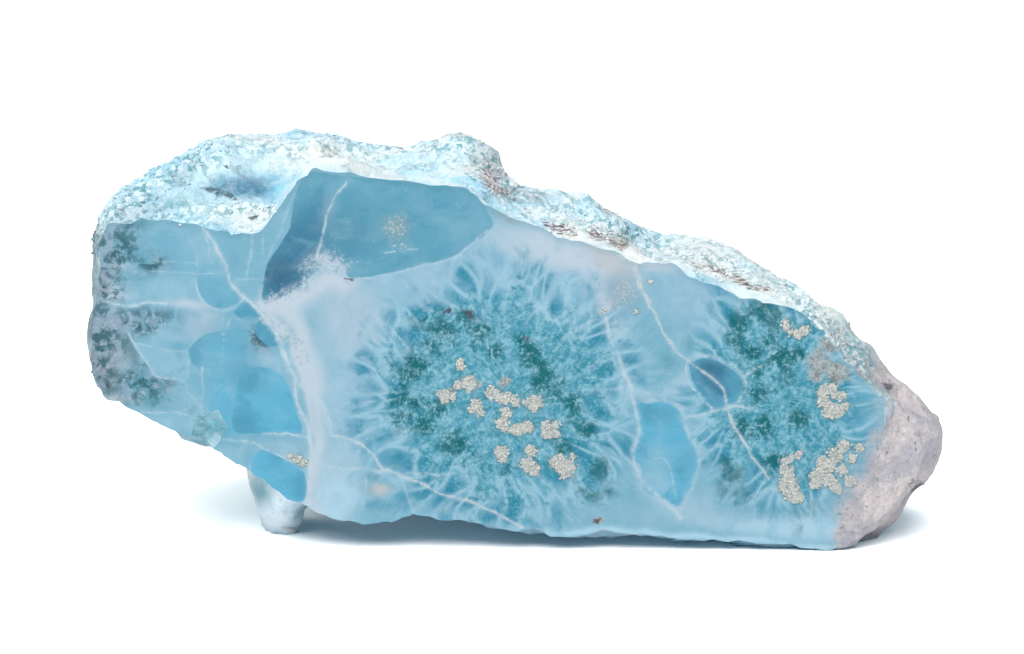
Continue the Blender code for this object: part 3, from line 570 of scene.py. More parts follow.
def openSkin(node):
    skin = bmesh.new()
    skin.from_mesh(node.data)
    bmesh.ops.remove_doubles(skin, verts=skin.verts, dist=1e-3 * mm)
    bmesh.ops.recalc_face_normals(skin, faces=skin.faces)
    front = min(v.co.y for v in skin.verts)
    sawn = [f for f in skin.faces if max(v.co.y for v in f.verts) < front + 0.01 * mm]
    bmesh.ops.delete(skin, geom=sawn, context="FACES")
    bmesh.ops.subdivide_edges(skin, edges=skin.edges[:], cuts=brokenSkin["cuts"], use_grid_fill=True)
    bmesh.ops.triangulate(skin, faces=skin.faces)
    inner = [v for v in skin.verts if not v.is_boundary and v.co.z > 0.02 * mm]
    for _ in range(brokenSkin["smoothing"]):
        bmesh.ops.smooth_vert(skin, verts=inner, factor=0.5, use_axis_x=True, use_axis_y=True,
                              use_axis_z=True)
    for v in skin.verts:  # a ragged rim, fading into the skin behind it
        near = math.exp(-(v.co.y - front) / sawnFace["raggedDepth"])
        if near > 0.02:
            tear = v.co / sawnFace["raggedSize"]
            v.co.x += sawnFace["raggedness"] * near * noise.noise(tear)
            v.co.z += sawnFace["raggedness"] * near * noise.noise(tear + Vector((9.2, 4.1, 0)))
    return skin, front


def rimLoops(skin):
    edges = {e for e in skin.edges if e.is_boundary}
    loops = []
    while edges:
        edge = edges.pop()
        loop = [edge.verts[0], edge.verts[1]]
        while True:
            onward = next((e for e in loop[-1].link_edges if e in edges), None)
            if onward is None:
                break
            edges.remove(onward)
            loop.append(onward.other_vert(loop[-1]))
        loops.append(loop[:-1] if loop[-1] is loop[0] else loop)
    return sorted(loops, key=len, reverse=True)


def fillFace(skin, front):
    rim = rimLoops(skin)[0]
    outline = np.array([(v.co.x, v.co.z) for v in rim])
    low, high = outline.min(axis=0), outline.max(axis=0)
    step = sawnFace["gridStep"]
    rows = []
    for k, z in enumerate(np.arange(low[1], high[1], step * math.sqrt(0.75))):
        across = np.arange(low[0], high[0], step) + (k % 2) * step / 2
        rows.append(np.stack((across, np.full(len(across), z)), axis=1))
    grid = np.vstack(rows)
    lines = [onCut(curveThrough(line, 2.0)) for *_, line in veins.values()]
    beads = []
    for line in lines:
        length = np.concatenate(((0,), np.cumsum(np.linalg.norm(np.diff(line, axis=0), axis=1))))
        spots = np.arange(0, length[-1], sawnFace["veinStep"])
        beads.append(np.stack([np.interp(spots, length, line[:, axis]) for axis in (0, 1)], axis=1))
    beads = np.vstack(beads)
    taken = {tuple(spot) for spot in np.round(beads / (step * 0.5)).astype(int)}
    free = [tuple(spot) not in taken for spot in np.round(grid / (step * 0.5)).astype(int)]
    points = np.vstack((grid[np.array(free)], beads))
    inward = insideDistance(points, outline)
    points = points[inward > sawnFace["clearance"]]
    flat = [Vector(p) for p in outline / mm] + [Vector(p) for p in points / mm]
    spots, _, faces, origins, _, _ = geometry.delaunay_2d_cdt(flat, [], [list(range(len(rim)))], 1, 1e-5)
    made = []
    for spot, origin in zip(spots, origins):
        source = min(origin) if origin else None
        if source is not None and source < len(rim):
            made.append(rim[source])
        else:
            made.append(skin.verts.new((spot.x * mm, front, spot.y * mm)))
    for face in faces:
        corners = [made[k] for k in face]
        if len(set(corners)) == 3:
            try:
                skin.faces.new(corners).material_index = 1
            except ValueError:
                pass
    bmesh.ops.recalc_face_normals(skin, faces=skin.faces)
    return outline


def verticesOf(mesh):
    flat = np.empty(len(mesh.vertices) * 3)
    mesh.vertices.foreach_get("co", flat)
    return flat.reshape(-1, 3)


def store(mesh, name, values, kind="FLOAT"):
    key = {"FLOAT": "value", "FLOAT_VECTOR": "vector", "FLOAT_COLOR": "color"}[kind]
    layer = mesh.attributes.new(name, kind, "POINT")
    layer.data.foreach_set(key, np.ascontiguousarray(values, dtype=np.float32).ravel())


def coloured(colours):
    return np.hstack((colours, np.ones((len(colours), 1))))


def paintPatches(colours, where, patches):
    for tone, x, y, reachX, reachY, turn, strength in patches:
        share = (softSpot(where, x, y, reachX, reachY, turn) * strength)[:, None]
        colours += share * (np.array(tones[tone]) - colours)
    return colours


def spotField(where, spots):
    field = np.zeros(len(where))
    for x, y, reach in spots:
        field = np.maximum(field, 1 - np.hypot(where[:, 0] - x, where[:, 1] - y) / (2 * reach))
    return field


# the strongest of many soft spots at each place
def softField(where, spots):
    field = np.zeros(len(where))
    for spot in spots:
        field = np.maximum(field, softSpot(where, *spot))
    return field


# places are pushed about before painting, so that no edge is a drawn curve:
# pixels, grain, and the seeds across and down
shakes = {
    "face": [(4.5, 2.6 * mm, 1, 3), (1.6, 0.7 * mm, 2, 4)],
    "windows": [(0.9, 0.8 * mm, 5, 6)],
    "veins": [(2.4, 1.6 * mm, 9, 10), (1.1, 0.55 * mm, 15, 16)],
    "rosettes": [(16.0, 4.0 * mm, 7, 8)],
    "skin": [((6.0, 3.0), 2.4 * mm, 11, 13), ((2.0, 1.2), 0.8 * mm, 12, 14)],
}
brush = {
    "lineSpacing": 2.0,  # pixels between the points of a smoothed line
    "outlineSpacing": 4.0,
    "veinSpread": 0.46,  # half a vein's width, or a little less
    "farThread": 4.0,
    "farRosette": 9.0,
    "fanLength": 200.0,
    "tealSpread": 1.6,
}


def shake(points, where, name):
    moved = np.zeros_like(where)
    for reach, size, seedAcross, seedDown in shakes[name]:
        wave = np.stack((drift(points, size, seedAcross), drift(points, size, seedDown)), axis=1)
        moved += np.array(reach) * wave
    return where + moved


def paintTones(mesh, shaken):
    tone = np.tile(np.array(tones["sky"]), (len(shaken), 1))
    paintPatches(tone, shaken, facePatches)
    for name, width, strength, line in veils:
        away = lineDistance(shaken, curveThrough(line))
        share = (np.exp(-(away / width) ** 2) * strength)[:, None]
        tone += share * (np.array(tones[name]) - tone)
    store(mesh, "faceTone", coloured(tone), "FLOAT_COLOR")


def paintWindows(mesh, trembling, shaken):
    edge = np.full(len(shaken), -1e9)
    inner = np.tile(np.array(tones["clear"]), (len(shaken), 1))
    for name, outline in windows.values():
        smooth = curveThrough(outline + outline[:1], brush["outlineSpacing"])[:-1]
        reach = insideDistance(trembling, smooth)
        closer = reach > edge
        edge[closer] = reach[closer]
        inner[closer] = tones[name]
    paintPatches(inner, shaken, windowPatches)
    store(mesh, "windowTone", coloured(inner), "FLOAT_COLOR")
    store(mesh, "windowEdge", np.clip(edge / pixelsPerMillimetre, -2, 2))


def paintVeins(mesh, veering):
    thread = np.full(len(veering), brush["farThread"])
    chalky = np.zeros(len(veering))
    power = np.zeros(len(veering))
    for width, chalk, strength, line in veins.values():
        away = lineDistance(veering,
                            curveThrough(line, brush["lineSpacing"])) / (width * brush["veinSpread"])
        closer = away < thread
        thread[closer] = away[closer]
        chalky[closer] = chalk
        power[closer] = strength
    store(mesh, "veinThread", thread)
    store(mesh, "veinChalk", chalky)
    store(mesh, "veinStrength", power)


# how far out of the nearest rosette a place is, and its direction from the rosette's middle
def paintRosettes(mesh, wavy):
    reach = np.full(len(wavy), brush["farRosette"])
    fan = np.zeros((len(wavy), 3))
    for rosette in rosettes.values():
        dx = wavy[:, 0] - rosette["centre"][0]
        dy = wavy[:, 1] - rosette["centre"][1]
        away = np.hypot(dx / rosette["reach"][0], dy / rosette["reach"][1])
        length = np.maximum(np.hypot(dx, dy), 1e-6)
        closer = away < reach
        reach[closer] = away[closer]
        onward = length / brush["fanLength"] + rosette["centre"][0]
        fan[closer] = np.stack((dx / length, dy / length, onward), axis=1)[closer]
    store(mesh, "rosetteReach", reach)
    store(mesh, "rosetteFan", fan, "FLOAT_VECTOR")


def paintSpots(mesh, where, shaken, onFace):
    teal = np.zeros(len(where))
    for x, y, size in tealSpots:
        away = np.hypot(shaken[:, 0] - x, shaken[:, 1] - y) / (brush["tealSpread"] * size)
        teal = np.maximum(teal, np.exp(-away ** 2))
    store(mesh, "tealSpot", teal)
    chalk = spotField(where, chalkSpots)
    store(mesh, "chalk", chalk * onFace)
    store(mesh, "chalkDust", softField(where, chalkDust))
    store(mesh, "grit", softField(shaken, gritSpots))
    store(mesh, "darkSpeck", spotField(where, darkSpecks))
    store(mesh, "frost", softField(where, frostSpots))
    store(mesh, "mottled", softField(shaken, mottleSpots))
    return chalk


def paintFace(mesh, points, where, onFace):
    shaken = shake(points, where, "face")
    paintTones(mesh, shaken)
    paintWindows(mesh, shake(points, where, "windows"), shaken)
    paintVeins(mesh, shake(points, where, "veins"))
    paintRosettes(mesh, shake(points, where, "rosettes"))
    return paintSpots(mesh, where, shaken, onFace)


# what the picture shows of the skin: the rows where its upper side ends, the foot, and how deep it reaches
shownSkin = {
    "facing": (-0.35, 0.05),
    "upperRows": (465, 430),
    "foot": (272, 502, 36, 46),
    "footRows": (466, 474),
    "hiddenFrom": 6 * mm,
    "hiddenTo": 20 * mm,
    "slant": (0.55, 0.85),
    "lineSpacing": 4.0,
}


def paintSkin(mesh, points, where, normals, front):
    shaken = shake(points, where, "skin")
    _, forward, _, _ = lookBasis()
    facing = softStep(-(normals @ forward), *shownSkin["facing"])
    upper = softStep(where[:, 1], *shownSkin["upperRows"])
    foot = softSpot(where, *shownSkin["foot"]) * softStep(where[:, 1], *shownSkin["footRows"])
    seen = facing * upper + foot
    hidden = softStep(points[:, 1], front + shownSkin["hiddenFrom"], front + shownSkin["hiddenTo"])
    under = softStep(-normals[:, 2], 0.1, 0.7)

    # broad to fine blotches, the wide spread of grey rock, and painted shade on the underside
    patchy = 0.5 * drift(points, 9 * mm, 21) + 0.35 * drift(points, 4 * mm, 22) + 0.3 * drift(points,
                                                                                              1.7 * mm, 25)
    stony = 0.7 * drift(points, 13 * mm, 23) + 0.3 * drift(points, 5 * mm, 24)
    tone = np.tile(np.array(tones["snow"]), (len(where), 1))
    for name, share in (
            ("milk", softStep(patchy, -0.25, 0.15) * 0.70),
            ("pale", softStep(patchy, 0.02, 0.30) * 0.70),
            ("sky", softStep(patchy, 0.18, 0.42) * 0.70 * (1 - facing * 0.5)),
            ("sand", softStep(stony, 0.05, 0.28) * np.maximum(hidden, under) * 0.85),
            ("ash", softStep(-stony, 0.16, 0.38) * np.maximum(hidden, under) * 0.75),
            # painted shade on the underside: dark steel blue near the cut, smoky grey further back
            ("steel", under * (1 - hidden) * 0.75),
            ("smoke", under * hidden * 0.35)):
        tone += share[:, None] * (np.array(tones[name]) - tone)
    visible = tone.copy()
    paintPatches(visible, shaken, skinPatches)
    tone += (seen * (1 - 0.5 * hidden))[:, None] * (visible - tone)
    store(mesh, "skinTone", coloured(tone), "FLOAT_COLOR")

    rust = np.zeros(len(where))
    for width, strength, line in rustStreaks:
        away = lineDistance(where, curveThrough(line, shownSkin["lineSpacing"])) / width
        rust = np.maximum(rust, strength * np.exp(-away ** 2))
    rust *= seen * (1 - 0.75 * hidden)
    far = softStep(stony + 0.5 * patchy, 0.26, 0.48) * hidden * 0.7
    store(mesh, "rust", np.maximum(rust, far))
    crack = np.zeros(len(where))
    for width, line in skinCracks:
        away = lineDistance(where, curveThrough(line, shownSkin["lineSpacing"])) / width
        crack = np.maximum(crack, np.exp(-away ** 2))
    # a mark would smear on a side seen edge-on
    level = 1 - softStep(np.abs(normals[:, 0]), *shownSkin["slant"])
    store(mesh, "darkPit", np.maximum(spotField(where, darkPits), crack) * (1 - hidden) * level)
    crumbly = 0.25 * softStep(0.6 * patchy + 0.7 * stony, 0.02, 0.30)
    for *spot, share in crumbPatches:
        crumbly = np.maximum(crumbly, softSpot(shaken, *spot) * share * seen)
    store(mesh, "granular", np.clip(crumbly + 0.5 * hidden, 0, 1))
    return crumbly * softStep(points[:, 2], 1.5 * mm, 4 * mm), tone


# the knob's edge: how far along the stone it starts, and its waves round the stone and on the face
knobEdge = {"start": 35.5, "wave": 2.0, "waveSize": 5 * mm, "faceWave": 0.6, "faceWaveSize": 1.6 * mm}


# how far inside the pale rough end of the stone a place is, in millimetres
def knobField(points, where):
    onFace = insideDistance(where, knobOutline) / pixelsPerMillimetre
    onFace = onFace + knobEdge["faceWave"] * drift(points, knobEdge["faceWaveSize"], 32)
    behind = points[:, 0] / mm - knobEdge["start"] + knobEdge["wave"] * drift(points,
                                                                              knobEdge["waveSize"], 31)
    depth = softStep(points[:, 1] / mm, -17.2, -12.0)
    return np.where(depth < 0.5, onFace, behind)


# the cut lies a little below its rim, with the chalk standing proud of it
def sinkCut(points, inward, chalk, knob):
    sink = sawnFace["recess"] * softStep(inward, 0, sawnFace["lip"])
    coarse, fine = sawnFace["crumbleSize"]
    rough = drift(points, coarse, 41) + 0.5 * drift(points, fine, 42)
    proud = sawnFace["crumble"] * softStep(chalk + 0.12 * rough, 0.42, 0.62) * (0.6 + 0.7 * rough)
    knobby = softStep(knob, 0.0, 0.8)
    knobRelief = (0.5 * drift(points, 1.6 * mm, 43) + 0.4 * rough) * sawnFace["knobDepth"]
    knobRelief = np.minimum(knobRelief, sawnFace["knobLimit"])
    sink = sink - proud + knobby * knobRelief + knobby * sawnFace["knobSink"]
    return np.maximum(sink, 0)


def dressStone(node):
    skin, front = openSkin(node)
    outline = fillFace(skin, front)
    print("face filled:", len(skin.faces), "triangles")
    mesh = bpy.data.meshes.new("larimarStone")
    skin.to_mesh(mesh)
    skin.free()
    points = verticesOf(mesh)
    normals = np.empty(len(points) * 3)
    mesh.vertices.foreach_get("normal", normals)
    normals = normals.reshape(-1, 3)
    where = inPicture(points)

    onPlane = points[:, 1] < front + 1e-3 * mm
    inward = np.zeros(len(points))
    inward[onPlane] = insideDistance(points[onPlane][:, [0, 2]], outline)
    faceShare = onPlane & (inward > 0.02 * mm)
    chalk = paintFace(mesh, points, where, onPlane)
    crumbly, skinTone = paintSkin(mesh, points, where, normals, front)
    knob = knobField(points, where)
    crumbly = crumbly * (1 - softStep(knob, -1.6, -0.6))
    onChalk = softStep(chalk, 0.44, 0.58)
    store(mesh, "crumbly", np.where(faceShare, onChalk, crumbs["skinShare"] * crumbly))
    store(mesh, "crumbReach", np.where(faceShare, crumbs["chalkReach"], crumbs["skinReach"]))
    chalkTone = np.array(tones["chalk"]) * np.array(stoneDepth) / np.array(crustDepth)
    store(mesh, "crumbTone", coloured(np.where(faceShare[:, None], chalkTone, skinTone)), "FLOAT_COLOR")
    store(mesh, "knob", np.clip(knob, -4, 4))
    behindRim = softStep(points[:, 1], front, front + brokenSkin["fade"])
    store(mesh, "skinShare", np.where(faceShare, 0, behindRim))

    points[:, 1] += np.where(faceShare, sinkCut(points, inward, chalk, knob), 0)
    mesh.vertices.foreach_set("co", points.ravel())
    mesh.update()
    dressed = bpy.data.objects.new("larimarStone", mesh)
    bpy.context.collection.objects.link(dressed)
    return dressed


# Shader helpers

def feed(tree, socket, value):
    if isinstance(value, bpy.types.NodeSocket):
        tree.links.new(value, socket)
    elif socket.type == "RGBA" and len(value) == 3:
        socket.default_value = (*value, 1.0)
    else:
        socket.default_value = value


def place(tree, kind, values=None, **settings):
    made = tree.nodes.new(kind)
    for key, value in settings.items():
        setattr(made, key, value)
    for key, value in (values or {}).items():
        feed(tree, made.inputs[key], value)
    return made


def calc(tree, operation, *values):
    made = place(tree, "ShaderNodeMath", dict(enumerate(values)), operation=operation)
    return made.outputs[0]


def rise(tree, value, low, high, top=1.0):
    made = place(tree, "ShaderNodeMapRange", {"Value": value, "From Min": low, "From Max": high,
                                              "To Max": top},
                 interpolation_type="SMOOTHSTEP")
    return made.outputs[0]


def blendIn(tree, share, under, over, mode="MIX"):
    made = place(tree, "ShaderNodeMix", data_type="RGBA", blend_type=mode)
    feed(tree, made.inputs[0], share)
    feed(tree, made.inputs[6], under)
    feed(tree, made.inputs[7], over)
    return made.outputs[2]


def times(tree, first, second):
    return calc(tree, "MULTIPLY", first, second)


def plus(tree, first, second):
    return calc(tree, "ADD", first, second)


def grain(tree, vector, size, detail=3.0, rough=0.6, distortion=0.0):
    made = place(tree, "ShaderNodeTexNoise", {"Vector": vector, "Scale": 1.0 / size, "Detail": detail,
                                              "Roughness": rough, "Distortion": distortion})
    return made.outputs[0]


def cells(tree, vector, size, feature="F1"):
    made = place(tree, "ShaderNodeTexVoronoi", {"Vector": vector, "Scale": 1.0 / size}, feature=feature)
    return made.outputs["Distance"]


def stretched(tree, vector, scale):
    return place(tree, "ShaderNodeMapping", {"Vector": vector, "Scale": scale}).outputs[0]


# a field pushed about by a coarser one, so that its cells lose their even look
def warped(tree, vector, size, amount):
    wave = place(tree, "ShaderNodeTexNoise", {"Vector": vector, "Scale": 1.0 / size,
                                              "Detail": 3.0}).outputs["Color"]
    centred = place(tree, "ShaderNodeVectorMath", {0: wave, 1: (0.5, 0.5, 0.5)},
                    operation="SUBTRACT").outputs[0]
    shift = place(tree, "ShaderNodeVectorMath", {0: centred, "Scale": amount}, operation="SCALE").outputs[0]
    return place(tree, "ShaderNodeVectorMath", {0: vector, 1: shift}, operation="ADD").outputs[0]


def around(tree, value, middle=0.5, gain=1.0):
    return times(tree, calc(tree, "SUBTRACT", value, middle), gain)


def reading(tree, name, output="Fac"):
    return place(tree, "ShaderNodeAttribute", attribute_name=name).outputs[output]


def inMillimetres(tree):
    coords = place(tree, "ShaderNodeTexCoord").outputs["Object"]
    return place(tree, "ShaderNodeVectorMath", {0: coords, "Scale": 1000.0}, operation="SCALE").outputs[0]


def newGroup(name, takes, gives):
    group = bpy.data.node_groups.new(name, "ShaderNodeTree")
    for label, kind, value in takes:
        socket = group.interface.new_socket(label, in_out="INPUT", socket_type=kind)
        if value is not None:
            socket.default_value = value
    for label, kind in gives:
        group.interface.new_socket(label, in_out="OUTPUT", socket_type=kind)
    return group, place(group, "NodeGroupInput").outputs, place(group, "NodeGroupOutput").inputs


def useGroup(tree, group, values):
    made = place(tree, "ShaderNodeGroup", node_tree=group)
    for key, value in values.items():
        feed(tree, made.inputs[key], value)
    return made.outputs


# white crumbling crust, its grain and its shadowed pits
def chalkCrustGroup():
    group, given, out = newGroup("chalkCrust", [
        ("Under", "NodeSocketColor", (0.3, 0.5, 0.6, 1)), ("Place", "NodeSocketVector", None),
        ("Share", "NodeSocketFloat", 0.0), ("Warmth", "NodeSocketFloat", 0.5)],
        [("Color", "NodeSocketColor"), ("Height", "NodeSocketFloat")])
    fine = grain(group, given["Place"], 0.22, 3, 0.65)
    broad = grain(group, given["Place"], 0.9, 3, 0.6)
    pits = cells(group, given["Place"], 0.34)
    pale = blendIn(group, given["Warmth"], (0.62, 0.69, 0.73, 1), (0.70, 0.69, 0.65, 1))
    dull = blendIn(group, given["Warmth"], (0.34, 0.43, 0.48, 1), (0.36, 0.38, 0.35, 1))
    light = rise(group, plus(group, fine, times(group, broad, 0.6)), 0.55, 0.95)
    body = blendIn(group, light, dull, pale)
    body = blendIn(group, rise(group, pits, 0.5, 0.9, 0.3), body, (0.20, 0.25, 0.27, 1))
    feed(group, out["Color"], blendIn(group, given["Share"], given["Under"], body))
    lumps = times(group, calc(group, "SUBTRACT", fine, pits), given["Share"])
    feed(group, out["Height"], lumps)
    return group


# rusty brown iron in streaky grains
def ironStainGroup():
    group, given, out = newGroup("ironStain", [
        ("Under", "NodeSocketColor", (0.3, 0.5, 0.6, 1)), ("Place", "NodeSocketVector", None),
        ("Share", "NodeSocketFloat", 0.0)],
        [("Color", "NodeSocketColor"), ("Mask", "NodeSocketFloat")])
    slanted = place(group, "ShaderNodeMapping",
                    {"Vector": given["Place"], "Rotation": (0, math.radians(24), 0),
                                                   "Scale": (0.35, 1, 1.6)}).outputs[0]
    streaks = grain(group, slanted, 0.34, 5, 0.75, 0.6)
    body = blendIn(group, rise(group, streaks, 0.42, 0.62), (0.20, 0.115, 0.11, 1), (0.03, 0.015, 0.018, 1))
    wash = plus(group, times(group, given["Share"], 0.8),
                times(group, calc(group, "SUBTRACT", streaks, 0.5), 4.6))
    mask = times(group, rise(group, wash, 0.50, 0.80, 0.92), rise(group, given["Share"], 0.05, 0.3))
    tinted = blendIn(group, rise(group, given["Share"], 0.1, 0.9, 0.30), given["Under"],
                     (0.42, 0.34, 0.31, 1))
    feed(group, out["Color"], blendIn(group, mask, tinted, body))
    feed(group, out["Mask"], mask)
    return group


# milky clouds and fine silky grain inside the clear stone
def milkyDepthGroup():
    group, given, out = newGroup("milkyDepth", [
        ("Under", "NodeSocketColor", (0.3, 0.5, 0.6, 1)), ("Place", "NodeSocketVector", None),
        ("Cloudiness", "NodeSocketFloat", 0.3), ("Size", "NodeSocketFloat", 3.0)],
        [("Color", "NodeSocketColor"), ("Cloud", "NodeSocketFloat")])
    closeness = calc(group, "DIVIDE", 1.0, given["Size"])
    spread = place(group, "ShaderNodeVectorMath", {0: given["Place"], "Scale": closeness},
                   operation="SCALE").outputs[0]
    cloud = place(group, "ShaderNodeTexNoise", {"Vector": spread, "Scale": 1.0, "Detail": 5.0,
                                                "Roughness": 0.62,
                                                "Distortion": 0.6}).outputs[0]
    lifted = times(group, rise(group, cloud, 0.45, 0.75), given["Cloudiness"])
    sunk = times(group, rise(group, cloud, 0.5, 0.25), given["Cloudiness"])
    body = blendIn(group, lifted, given["Under"], (0.55, 0.70, 0.80, 1))
    body = blendIn(group, sunk, body, (0.07, 0.27, 0.40, 1))
    feed(group, out["Color"], body)
    feed(group, out["Cloud"], cloud)
    return group


chalkCrust = chalkCrustGroup()
ironStain = ironStainGroup()
milkyDepth = milkyDepthGroup()


def newMaterial(name):
    material = bpy.data.materials.new(name)
    material.use_nodes = True
    tree = material.node_tree
    tree.nodes.clear()
    shader = place(tree, "ShaderNodeBsdfPrincipled")
    feed(tree, place(tree, "ShaderNodeOutputMaterial").inputs["Surface"], shader.outputs[0])
    return material, tree, shader


def bumpOn(tree, shader, height, strength, distance):
    bump = place(tree, "ShaderNodeBump", {"Strength": strength, "Distance": distance, "Height": height})
    feed(tree, shader.inputs["Normal"], bump.outputs[0])


def deepened(tree, colour, depth):
    return blendIn(tree, 1.0, colour, depth, "MULTIPLY")


cutFinish = {
    "laceSize": 0.95,
    "fineLaceSize": 0.40,
    "pepperSize": 0.19,
    "roughness": 0.82,
    "specular": 0.06,
    "bump": 0.5 * mm,
}


knobColours = {
    "cool": (0.45, 0.45, 0.51),
    "warm": (0.62, 0.58, 0.60),
    "pale": (0.72, 0.68, 0.67),
    "dull": (0.33, 0.31, 0.34),
    "dark": (0.13, 0.10, 0.11),
}


# the pinkish grey rock at the right end, laid over the colour beneath it
def knobColour(tree, under, spot, depth=1.0):
    def toned(name):
        return tuple(channel * depth for channel in knobColours[name])

    edge = plus(tree, reading(tree, "knob"), around(tree, grain(tree, spot, 1.3, 5, 0.7), 0.5, 3.6))
    share = rise(tree, edge, -1.3, 0.9)
    broad = grain(tree, spot, 3.2, 5, 0.6, 0.6)
    fine = grain(tree, spot, 0.40, 4, 0.75)
    lumpy = grain(tree, spot, 1.0, 4, 0.7)
    body = blendIn(tree, rise(tree, broad, 0.40, 0.60), toned("cool"), toned("warm"))
    body = blendIn(tree, rise(tree, lumpy, 0.53, 0.66, 0.55), body, toned("pale"))
    # painted shade: the dull mix darkens the low spots of the fine grain
    body = blendIn(tree, rise(tree, fine, 0.50, 0.38, 0.45), body, toned("dull"))
    body = blendIn(tree, rise(tree, plus(tree, lumpy, around(tree, fine, 0.5, 0.6)), 0.37, 0.30, 0.75),
                   body,
                   toned("dark"))
    return blendIn(tree, share, under, body), share, fine


cutColours = {
    "silk": (0.50, 0.67, 0.77),
    "fibre": (0.13, 0.39, 0.54),
    "ring": (0.125, 0.40, 0.56),
    "cell": (0.005, 0.22, 0.35),
    "thread": (0.40, 0.62, 0.74),
    "heart": (0.090, 0.355, 0.465),
    "net": (0.015, 0.20, 0.275),
    "teal": (0.0, 0.125, 0.145),
    "lace": (0.33, 0.59, 0.71),
    "glint": (0.50, 0.68, 0.75),
    "mauve": (0.25, 0.35, 0.45),
    "blotch": (0.035, 0.125, 0.16),
    "grey": (0.31, 0.40, 0.50),
    "web": (0.50, 0.57, 0.66),
    "brushDark": (0.05, 0.25, 0.40),
    "brushPale": (0.30, 0.56, 0.69),
    "frost": (0.54, 0.62, 0.70),
    "fleck": (0.16, 0.30, 0.38),
    "veinGlow": (0.46, 0.62, 0.73),
    "veinCore": (0.56, 0.68, 0.76),
    "rockDark": (0.23, 0.23, 0.23),
    "rockPale": (0.52, 0.52, 0.50),
    "speck": (0.07, 0.055, 0.09),
    "chalkShadow": (0.09, 0.20, 0.23),
}


